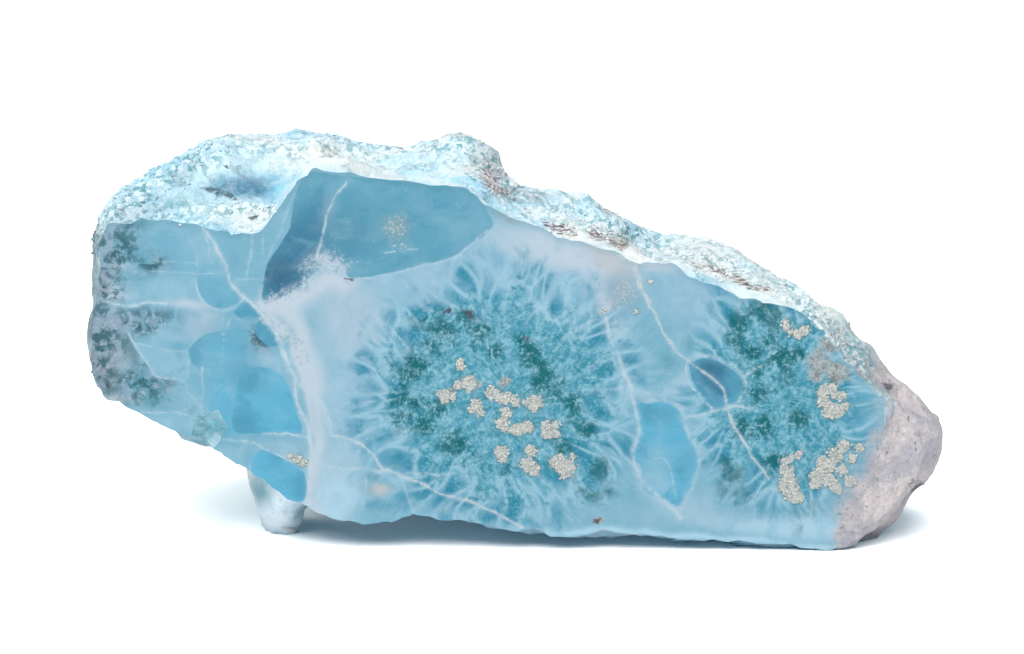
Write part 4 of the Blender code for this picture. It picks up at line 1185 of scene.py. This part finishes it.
def sawnMaterial():
    material, tree, shader = newMaterial("sawnLarimar")
    spot = inMillimetres(tree)
    depth = useGroup(tree, milkyDepth, {"Under": reading(tree, "faceTone", "Color"), "Place": spot,
                                        "Cloudiness": 0.22, "Size": 2.6})
    colour = depth["Color"]
    fan = reading(tree, "rosetteFan", "Vector")
    reach = reading(tree, "rosetteReach")
    fibres = place(tree, "ShaderNodeTexNoise", {"Vector": fan, "Scale": 6.5, "Detail": 6.0,
                                                "Roughness": 0.62,
                                                "Distortion": 0.35}).outputs[0]
    silk = place(tree, "ShaderNodeTexNoise", {"Vector": stretched(tree, fan, (1.0, 1.0, 0.35)),
                                              "Scale": 30.0,
                                              "Detail": 3.0, "Roughness": 0.6}).outputs[0]
    lace = grain(tree, spot, cutFinish["laceSize"], 5, 0.68, 0.8)
    fineLace = grain(tree, spot, cutFinish["fineLaceSize"], 3, 0.7, 0.3)
    pepper = grain(tree, spot, cutFinish["pepperSize"], 2, 0.6)
    cloud = grain(tree, spot, 1.9, 3, 0.55, 0.4)
    murk = grain(tree, spot, 3.4, 3, 0.5, 0.5)

    # silky fans of fibres round each rosette
    fanBand = times(tree, rise(tree, reach, 0.60, 0.95), rise(tree, reach, 1.75, 1.15))
    bright = times(tree, rise(tree, silk, 0.5, 0.70, 0.45), fanBand)
    colour = blendIn(tree, bright, colour, cutColours["silk"])
    dim = times(tree, rise(tree, fibres, 0.52, 0.34, 0.55), fanBand)
    colour = blendIn(tree, dim, colour, cutColours["fibre"])

    # blue cells reach out of the dark heart of each rosette, with pale threads between them
    fanPlace = warped(tree, stretched(tree, fan, (6.5, 6.5, 5.0)), 1.6, 0.8)
    cell = place(tree, "ShaderNodeTexVoronoi", {"Vector": fanPlace, "Scale": 1.0}).outputs["Distance"]
    seamline = place(tree, "ShaderNodeTexVoronoi", {"Vector": fanPlace, "Scale": 1.0},
                     feature="DISTANCE_TO_EDGE").outputs["Distance"]
    outward = plus(tree, reach, around(tree, fibres, 0.5, 1.0))
    outward = plus(tree, outward, around(tree, cloud, 0.5, 0.7))
    ring = rise(tree, outward, 1.50, 0.95)
    colour = blendIn(tree, times(tree, ring, 0.60), colour, cutColours["ring"])
    cellCore = times(tree, rise(tree, cell, 0.72, 0.12), ring)
    colour = blendIn(tree, times(tree, cellCore, 0.95), colour, cutColours["cell"])
    paleThread = times(tree, rise(tree, seamline, 0.17, 0.01, 0.65), rise(tree, outward, 1.42, 1.12))
    colour = blendIn(tree, paleThread, colour, cutColours["thread"])

    # the heart: mid blue, salted with fine lace and clouded with dark teal
    inner = plus(tree, outward, around(tree, lace, 0.5, 0.5))
    heart = rise(tree, inner, 1.10, 0.70)
    colour = blendIn(tree, times(tree, heart, 0.65), colour, cutColours["heart"])
    netting = plus(tree, times(tree, lace, 0.55), times(tree, fineLace, 0.33))
    netting = plus(tree, netting, times(tree, pepper, 0.12))
    salted = rise(tree, inner, 1.26, 0.80)
    colour = blendIn(tree, times(tree, rise(tree, netting, 0.52, 0.38, 0.75), salted), colour,
                     cutColours["net"])
    teal = plus(tree, reading(tree, "tealSpot"), around(tree, cloud, 0.5, 1.9))
    teal = plus(tree, teal, around(tree, murk, 0.5, 1.6))
    teal = plus(tree, teal, around(tree, netting, 0.5, -1.3))
    tealShare = times(tree, rise(tree, teal, 0.22, 1.10, 0.92), rise(tree, outward, 1.6, 1.0))
    colour = blendIn(tree, tealShare, colour, cutColours["teal"])
    colour = blendIn(tree, times(tree, rise(tree, netting, 0.49, 0.62, 0.78), salted), colour,
                     cutColours["lace"])
    # painted highlights: pale glints on the fine grain of the heart
    glint = times(tree, rise(tree, pepper, 0.58, 0.74, 0.30), salted)
    colour = blendIn(tree, glint, colour, cutColours["glint"])

    # grey and teal mottling towards the left end
    mottled = reading(tree, "mottled")
    blotchy = plus(tree, around(tree, grain(tree, spot, 1.4, 4, 0.65, 0.6), 0.5, 1.7),
                   around(tree, lace, 0.5, 0.8))
    mauve = times(tree, rise(tree, murk, 0.42, 0.58, 0.6), mottled)
    colour = blendIn(tree, mauve, colour, cutColours["mauve"])
    dark = times(tree, rise(tree, blotchy, 0.10, -0.18, 0.95), mottled)
    colour = blendIn(tree, dark, colour, cutColours["blotch"])
    greyish = times(tree, rise(tree, blotchy, 0.05, 0.30, 0.50), mottled)
    colour = blendIn(tree, greyish, colour, cutColours["grey"])
    webbed = times(tree, rise(tree, netting, 0.51, 0.63, 0.60), mottled)
    colour = blendIn(tree, webbed, colour, cutColours["web"])

    # crisp clear cells
    shakenEdge = plus(tree, reading(tree, "windowEdge"),
                      around(tree, fineLace, 0.5, 0.16))
    clear = useGroup(tree, milkyDepth, {"Under": reading(tree, "windowTone", "Color"), "Place": spot,
                                        "Cloudiness": 0.13, "Size": 3.4})["Color"]
    brushed = grain(tree, stretched(tree, spot, (0.6, 1.0, 1.0)), 1.9, 5, 0.6, 0.6)
    clear = blendIn(tree, rise(tree, brushed, 0.50, 0.34, 0.32), clear, cutColours["brushDark"])
    clear = blendIn(tree, rise(tree, brushed, 0.54, 0.72, 0.25), clear, cutColours["brushPale"])
    colour = blendIn(tree, rise(tree, shakenEdge, -0.05, 0.09), colour, clear)

    # granular frost where the milk breaks up over the clear stone
    frostGrain = plus(tree, around(tree, grain(tree, spot, 0.24, 3, 0.7), 0.5, 1.8),
                      around(tree, grain(tree, spot, 0.8, 4, 0.7), 0.5, 2.2))
    frosty = plus(tree, reading(tree, "frost"), frostGrain)
    colour = blendIn(tree, rise(tree, frosty, 0.30, 1.25, 0.85), colour, cutColours["frost"])
    flecked = times(tree, rise(tree, frostGrain, 0.0, -0.5, 0.45),
                    rise(tree, reading(tree, "frost"), 0.2, 0.7))
    colour = blendIn(tree, flecked, colour, cutColours["fleck"])

    # veins, some glassy and some chalky
    waver = around(tree, grain(tree, spot, 0.30, 3, 0.75), 0.5, 1.8)
    thread = plus(tree, reading(tree, "veinThread"), waver)
    broken = rise(tree, grain(tree, spot, 1.3, 4, 0.75), 0.38, 0.62, 0.65)
    strength = times(tree, reading(tree, "veinStrength"), plus(tree, broken, 0.32))
    core = times(tree, rise(tree, thread, 1.8, 0.0), strength)
    glow = times(tree, rise(tree, thread, 4.0, 0.2, 0.50), strength)
    colour = blendIn(tree, glow, colour, cutColours["veinGlow"])
    colour = blendIn(tree, core, colour, cutColours["veinCore"])
    chalkLine = times(tree, core, reading(tree, "veinChalk"))

    # grey rock and chalk
    gritty = plus(tree, reading(tree, "grit"),
                  around(tree, grain(tree, spot, 1.3, 5, 0.7), 0.5, 1.2))
    mottle = plus(tree, grain(tree, spot, 0.7, 4, 0.7), around(tree, pepper, 0.5, 0.9))
    rock = blendIn(tree, rise(tree, mottle, 0.34, 0.64), cutColours["rockDark"], cutColours["rockPale"])
    colour = blendIn(tree, rise(tree, gritty, 0.25, 0.85, 0.8), colour, rock)
    speck = plus(tree, reading(tree, "darkSpeck"),
                 around(tree, fineLace, 0.5, 0.9))
    colour = blendIn(tree, rise(tree, speck, 0.62, 0.85, 0.85), colour, cutColours["speck"])
    crumbling = plus(tree, around(tree, grain(tree, spot, 0.30, 3, 0.7), 0.5, 0.8),
                     around(tree, grain(tree, spot, 0.8, 3, 0.6), 0.5, 1.1))
    chalkField = plus(tree, reading(tree, "chalk"), crumbling)
    # painted shadow: a dark ring round each raised chalk lump
    colour = blendIn(tree, rise(tree, chalkField, 0.30, 0.48, 0.5), colour, cutColours["chalkShadow"])
    dusty = plus(tree, reading(tree, "chalkDust"),
                 around(tree, grain(tree, spot, 0.30, 3, 0.75), 0.5, 3.0))
    chalkShare = calc(tree, "MAXIMUM", rise(tree, chalkField, 0.47, 0.58),
                      calc(tree, "MAXIMUM", rise(tree, dusty, 0.80, 1.30, 0.70), chalkLine))
    crust = useGroup(tree, chalkCrust, {"Under": colour, "Place": spot, "Share": chalkShare,
                                        "Warmth": 0.75})
    colour, knobShare, knobGrain = knobColour(tree, crust["Color"], spot)

    feed(tree, shader.inputs["Base Color"], deepened(tree, colour, stoneDepth))
    coarse = calc(tree, "MAXIMUM", chalkShare, knobShare)
    feed(tree, shader.inputs["Roughness"], rise(tree, coarse, -0.6, 1.0, cutFinish["roughness"]))
    shader.inputs["Specular IOR Level"].default_value = cutFinish["specular"]
    height = plus(tree, times(tree, crust["Height"], 0.28),
                  times(tree, times(tree, knobGrain, knobShare), 0.5))
    height = plus(tree, height, times(tree, fineLace, 0.03))
    bumpOn(tree, shader, height, 0.6, cutFinish["bump"])
    return material


crustFinish = {"flakeSize": 0.50, "specular": 0.18, "bump": 0.6 * mm}


crustColours = {
    "blotch": (0.17, 0.42, 0.50),
    "paleFlake": (0.64, 0.75, 0.80),
    "darkFlake": (0.06, 0.23, 0.27),
    "grainHollowShade": (0.20, 0.32, 0.38),
    "pit": (0.045, 0.07, 0.085),
}


def brokenMaterial():
    material, tree, shader = newMaterial("brokenLarimar")
    spot = inMillimetres(tree)
    depth = useGroup(tree, milkyDepth, {"Under": reading(tree, "skinTone", "Color"), "Place": spot,
                                        "Cloudiness": 0.30, "Size": 1.7})
    colour = depth["Color"]
    fine = grain(tree, spot, 0.30, 4, 0.75)
    blotch = grain(tree, spot, 1.3, 5, 0.7, 0.5)
    granular = reading(tree, "granular")
    flakePlace = warped(tree, stretched(tree, spot, (1.0, 0.6, 1.1)), 0.5, 0.5)
    flake = place(tree, "ShaderNodeTexVoronoi",
                  {"Vector": flakePlace, "Scale": 1.0 / crustFinish["flakeSize"]})
    pick = place(tree, "ShaderNodeSeparateColor", {"Color": flake.outputs["Color"]}).outputs[0]
    chipped = plus(tree, pick, around(tree, fine, 0.5, 0.8))
    colour = blendIn(tree, rise(tree, blotch, 0.52, 0.68, 0.45), colour, crustColours["blotch"])
    colour = blendIn(tree, times(tree, rise(tree, chipped, 0.58, 0.88, 0.48), granular), colour,
                     crustColours["paleFlake"])
    colour = blendIn(tree, times(tree, rise(tree, chipped, 0.42, 0.12, 0.85), granular), colour,
                     crustColours["darkFlake"])
    # painted shade: darker in the low spots of the fine grain, where the bump sinks
    colour = blendIn(tree, rise(tree, fine, 0.45, 0.34, 0.30), colour, crustColours["grainHollowShade"])
    crusty = rise(tree, plus(tree, grain(tree, spot, 0.75, 5, 0.7), times(tree, fine, 0.5)),
                  0.78, 0.98, 0.6)
    crusty = times(tree, crusty, rise(tree, granular, -0.3, 0.6))
    crust = useGroup(tree, chalkCrust, {"Under": colour, "Place": spot, "Share": crusty, "Warmth": 0.25})
    stain = useGroup(tree, ironStain, {"Under": crust["Color"], "Place": spot,
                                       "Share": reading(tree, "rust")})
    colour = knobColour(tree, stain["Color"], spot, 0.68)[0]
    # painted shade: pits and cracks turn near-black and sink in the bump
    pit = plus(tree, reading(tree, "darkPit"), around(tree, fine, 0.5, 1.4))
    colour = blendIn(tree, rise(tree, pit, 0.5, 0.8, 0.92), colour, crustColours["pit"])
    feed(tree, shader.inputs["Base Color"], deepened(tree, colour, crustDepth))
    feed(tree, shader.inputs["Roughness"], rise(tree, fine, -0.4, 1.0, 0.85))
    shader.inputs["Specular IOR Level"].default_value = crustFinish["specular"]
    chips = times(tree, around(tree, pick, 0.5, 0.9), granular)
    height = plus(tree, times(tree, crust["Height"], 0.3), times(tree, fine, 0.55))
    height = plus(tree, height, times(tree, blotch, 0.5))
    height = plus(tree, height, times(tree, chips, 0.35))
    height = calc(tree, "SUBTRACT", height, rise(tree, pit, 0.4, 0.8, 0.6))
    bumpOn(tree, shader, height, 0.85, crustFinish["bump"])
    return material


grainColours = {
    "lift": (1.22, 1.19, 1.17),
    "fleck": (0.22, 0.27, 0.28),
    "foot": (0.10, 0.22, 0.24),
}


def crumbMaterial():
    material, tree, shader = newMaterial("looseGrains")
    spot = inMillimetres(tree)
    fine = grain(tree, spot, 0.11, 3, 0.7)
    shade = reading(tree, "crumbShade")
    tone = reading(tree, "crumbTone", "Color")
    paler = blendIn(tree, 1.0, tone, grainColours["lift"], "MULTIPLY")
    colour = blendIn(tree, rise(tree, shade, 0.25, 1.0), tone, paler)
    colour = blendIn(tree, rise(tree, fine, 0.52, 0.66, 0.35), colour, grainColours["fleck"])
    colour = blendIn(tree, rise(tree, shade, 0.16, 0.0, 0.6), colour, grainColours["foot"])
    feed(tree, shader.inputs["Base Color"], deepened(tree, colour, crustDepth))
    feed(tree, shader.inputs["Roughness"], rise(tree, fine, -0.6, 1.0, 0.95))
    shader.inputs["Specular IOR Level"].default_value = crustFinish["specular"]
    bumpOn(tree, shader, fine, 0.5, crustFinish["bump"])
    return material


# Geometry Nodes: lumps and grains over the broken skin

def newNodesTree(name, takes):
    tree = bpy.data.node_groups.new(name, "GeometryNodeTree")
    tree.interface.new_socket("Geometry", in_out="INPUT", socket_type="NodeSocketGeometry")
    for label, kind in takes:
        tree.interface.new_socket(label, in_out="INPUT", socket_type=kind)
    tree.interface.new_socket("Geometry", in_out="OUTPUT", socket_type="NodeSocketGeometry")
    return tree, place(tree, "NodeGroupInput").outputs, place(tree, "NodeGroupOutput").inputs


def skinReliefTree():
    tree, given, out = newNodesTree("skinRelief", [
        ("Lump Depth", "NodeSocketFloat"), ("Lump Size", "NodeSocketFloat"),
        ("Grain Depth", "NodeSocketFloat"),
        ("Grain Size", "NodeSocketFloat"), ("Finish", "NodeSocketMaterial")])
    share = place(tree, "GeometryNodeInputNamedAttribute", {"Name": "skinShare"},
                  data_type="FLOAT").outputs[0]
    spot = place(tree, "GeometryNodeInputPosition").outputs[0]
    heights = []
    for depthName, sizeName, detail in (("Lump Depth", "Lump Size", 2.0),
                                        ("Grain Depth", "Grain Size", 2.0)):
        scale = calc(tree, "DIVIDE", 1.0, given[sizeName])
        wave = place(tree, "ShaderNodeTexNoise",
                     {"Vector": spot, "Scale": scale, "Detail": detail}).outputs[0]
        heights.append(times(tree, calc(tree, "SUBTRACT", wave, 0.55), given[depthName]))
    height = times(tree, plus(tree, *heights), share)
    normal = place(tree, "GeometryNodeInputNormal").outputs[0]
    offset = place(tree, "ShaderNodeVectorMath", {0: normal, "Scale": height}, operation="SCALE").outputs[0]
    moved = place(tree, "GeometryNodeSetPosition",
                  {"Geometry": given["Geometry"], "Offset": offset}).outputs[0]
    real = place(tree, "GeometryNodeRealizeInstances", {"Geometry": moved}).outputs[0]
    onSkin = place(tree, "GeometryNodeInputMaterialIndex").outputs[0]
    cutFaces = place(tree, "FunctionNodeCompare", {2: onSkin, 3: 0}, data_type="INT",
                     operation="EQUAL").outputs[0]
    dressed = place(tree, "GeometryNodeSetMaterial", {"Geometry": real, "Selection": cutFaces,
                                                      "Material": given["Finish"]}).outputs[0]
    feed(tree, out["Geometry"], dressed)
    return tree


# small broken grains, thick where the mesh's crumbly attribute is high
def crumbTree():
    tree, given, out = newNodesTree("looseCrumbs", [
        ("Density", "NodeSocketFloat"), ("Unevenness", "NodeSocketFloat"), ("Seed", "NodeSocketInt"),
        ("Finish", "NodeSocketMaterial")])

    def attribute(name):
        return place(tree, "GeometryNodeInputNamedAttribute", {"Name": name}, data_type="FLOAT").outputs[0]

    def chance(low, high, kind, seed):
        start = 0 if kind == "FLOAT_VECTOR" else 2
        made = place(tree, "FunctionNodeRandomValue", {start: low, start + 1: high, "Seed": seed},
                     data_type=kind)
        return made.outputs[start // 2]

    density = times(tree, attribute("crumbly"), given["Density"])
    spots = place(tree, "GeometryNodeDistributePointsOnFaces",
                  {"Mesh": given["Geometry"], "Density": density,
                                                                "Seed": given["Seed"]}).outputs["Points"]
    shaded = place(tree, "GeometryNodeStoreNamedAttribute", {"Geometry": spots, "Name": "crumbShade",
                                                             "Value": chance(0.0, 1.0, "FLOAT", 1)},
                   data_type="FLOAT", domain="POINT").outputs[0]
    grit = place(tree, "GeometryNodeMeshIcoSphere", {"Radius": 1.0, "Subdivisions": 1}).outputs["Mesh"]
    scale = place(tree, "ShaderNodeVectorMath",
                  {0: chance((0.5, 0.5, 0.4), (1.3, 1.2, 1.0), "FLOAT_VECTOR", 2),
                                                 "Scale": attribute("crumbReach")},
                                                 operation="SCALE").outputs[0]
    turn = chance((0.0, 0.0, 0.0), (math.tau, math.tau, math.tau), "FLOAT_VECTOR", 3)
    placed = place(tree, "GeometryNodeInstanceOnPoints",
                   {"Points": shaded, "Instance": grit, "Rotation": turn,
                                                          "Scale": scale}).outputs[0]
    real = place(tree, "GeometryNodeRealizeInstances", {"Geometry": placed}).outputs[0]
    spot = place(tree, "GeometryNodeInputPosition").outputs[0]
    wave = place(tree, "ShaderNodeTexNoise",
                 {"Vector": spot, "Scale": 5000.0, "Detail": 0.0}).outputs["Color"]
    centred = place(tree, "ShaderNodeVectorMath", {0: wave, 1: (0.5, 0.5, 0.5)},
                    operation="SUBTRACT").outputs[0]
    size = times(tree, attribute("crumbReach"), given["Unevenness"])
    offset = place(tree, "ShaderNodeVectorMath", {0: centred, "Scale": size}, operation="SCALE").outputs[0]
    chipped = place(tree, "GeometryNodeSetPosition", {"Geometry": real, "Offset": offset}).outputs[0]
    dressed = place(tree, "GeometryNodeSetMaterial",
                    {"Geometry": chipped, "Material": given["Finish"]}).outputs[0]
    joined = place(tree, "GeometryNodeJoinGeometry")
    tree.links.new(dressed, joined.inputs[0])
    tree.links.new(given["Geometry"], joined.inputs[0])
    feed(tree, out["Geometry"], joined.outputs[0])
    return tree


def setInputs(modifier, tree, values):
    for item in tree.interface.items_tree:
        if item.item_type == "SOCKET" and item.in_out == "INPUT" and item.name in values:
            modifier[item.identifier] = values[item.name]


def madeMesh(obj, name):
    ready = obj.evaluated_get(bpy.context.evaluated_depsgraph_get())
    mesh = bpy.data.meshes.new_from_object(ready, preserve_all_data_layers=True,
                                           depsgraph=bpy.context.evaluated_depsgraph_get())
    mesh.name = name
    return mesh


stone = dressStone(stoneNode)
cutMaterial = sawnMaterial()
skinMaterial = brokenMaterial()
stone.data.materials.append(skinMaterial)
stone.data.materials.append(cutMaterial)
print("markings painted on", len(stone.data.vertices), "points")

reliefTree = skinReliefTree()
relief = stone.modifiers.new("skinRelief", "NODES")
relief.node_group = reliefTree
setInputs(relief, reliefTree, {"Lump Depth": brokenSkin["lumpDepth"], "Lump Size": brokenSkin["lumpSize"],
                               "Grain Depth": brokenSkin["grainDepth"],
                               "Grain Size": brokenSkin["grainSize"],
                               "Finish": skinMaterial})
stone.data = madeMesh(stone, "larimarStone")
stone.modifiers.clear()

looseTree = crumbTree()
loose = stone.modifiers.new("looseCrumbs", "NODES")
loose.node_group = looseTree
setInputs(loose, looseTree, {"Density": crumbs["density"], "Unevenness": crumbs["unevenness"],
                             "Seed": crumbs["seed"], "Finish": crumbMaterial()})
before = len(stone.data.polygons)
stone.data = madeMesh(stone, "larimarStone")
stone.modifiers.clear()
for empty in [index for index, material in enumerate(stone.data.materials) if material is None]:
    stone.data.materials.pop(index=empty)
print("crumbs scattered:", (len(stone.data.polygons) - before) // 20)

# nothing stands outside the solid it replaces
finished = np.clip(verticesOf(stone.data), np.array(cadBox[0]), np.array(cadBox[1]))
stone.data.vertices.foreach_set("co", finished.ravel())
stone.data.update()
slot = np.empty(len(stone.data.polygons), np.int32)
stone.data.polygons.foreach_get("material_index", slot)
sawnSlot = stone.data.materials.find("sawnLarimar")
stone.data.polygons.foreach_set("use_smooth", slot == sawnSlot)  # broken stone keeps its crystal facets
print("skin relief done:", len(stone.data.polygons), "faces")

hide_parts("larimar_stone")
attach(stone, "root")


# Floor, lights and camera

studio = {
    "floorReach": 3.0,
    "skyColour": (0.80, 0.93, 1.0),
    "skyStrength": 0.74,
    "softboxColour": (1.0, 0.96, 0.92),
    "softboxSize": 0.8,
    "softboxPlace": (-0.10, -0.56, 0.72),
    "softboxPower": 24.4,
    "sideSize": 0.5,
    "sidePlace": (-0.55, 0.30, 0.32),
    "sidePower": 3.0,
    "floorColour": (0.92, 0.92, 0.92),
    "floorGlow": (0.03, 0.07, 0.10),
    "floorRoughness": 0.9,
    "nearest": 0.01,  # what the camera can see, in metres
    "farthest": 20,
}


def makeFloor():
    reach = studio["floorReach"]
    mesh = bpy.data.meshes.new("studioFloor")
    mesh.from_pydata([(-reach, -reach, 0), (reach, -reach, 0), (reach, reach, 0), (-reach, reach, 0)], [],
                     [(0, 1, 2, 3)])
    floor = bpy.data.objects.new("studioFloor", mesh)
    bpy.context.collection.objects.link(floor)
    material, _, shader = newMaterial("paleFloor")
    shader.inputs["Base Color"].default_value = (*studio["floorColour"], 1)
    # keeps the shadow soft and bluish
    shader.inputs["Emission Color"].default_value = (*studio["floorGlow"], 1)
    shader.inputs["Emission Strength"].default_value = 1.0
    shader.inputs["Roughness"].default_value = studio["floorRoughness"]
    shader.inputs["Specular IOR Level"].default_value = 0.0
    mesh.materials.append(material)


def makeLights():
    world = bpy.data.worlds.new("studioSky")
    bpy.context.scene.world = world
    world.use_nodes = True
    world.node_tree.nodes.clear()
    seen = place(world.node_tree, "ShaderNodeLightPath").outputs["Is Camera Ray"]
    # white where the camera sees it
    colour = blendIn(world.node_tree, seen, studio["skyColour"], (1, 1, 1))
    sky = place(world.node_tree, "ShaderNodeBackground",
                {"Color": colour, "Strength": studio["skyStrength"]})
    feed(world.node_tree, place(world.node_tree, "ShaderNodeOutputWorld").inputs["Surface"], sky.outputs[0])
    for name, size, spot, power in (("softbox", "softboxSize", "softboxPlace", "softboxPower"),
                                    ("sideSoftbox", "sideSize", "sidePlace", "sidePower")):
        lamp = bpy.data.lights.new(name, "AREA")
        lamp.shape = "SQUARE"
        lamp.size = studio[size]
        lamp.color = studio["softboxColour"]
        lamp.energy = studio[power]
        softbox = bpy.data.objects.new(name, lamp)
        softbox.location = studio[spot]
        softbox.rotation_euler = (-softbox.location).to_track_quat("-Z", "Y").to_euler()
        bpy.context.collection.objects.link(softbox)


def makeCamera():
    lens = bpy.data.cameras.new("photographer")
    lens.lens = look["lens"]
    lens.sensor_width = look["sensor"]
    lens.clip_start = studio["nearest"]
    lens.clip_end = studio["farthest"]
    camera = bpy.data.objects.new("photographer", lens)
    eye, forward, _, _ = lookBasis()
    camera.location = eye
    camera.rotation_euler = Vector(forward).to_track_quat("-Z", "Y").to_euler()
    bpy.context.collection.objects.link(camera)
    bpy.context.scene.camera = camera


makeFloor()
makeLights()
makeCamera()
bpy.context.scene.view_settings.view_transform = "Standard"
print("studio set")
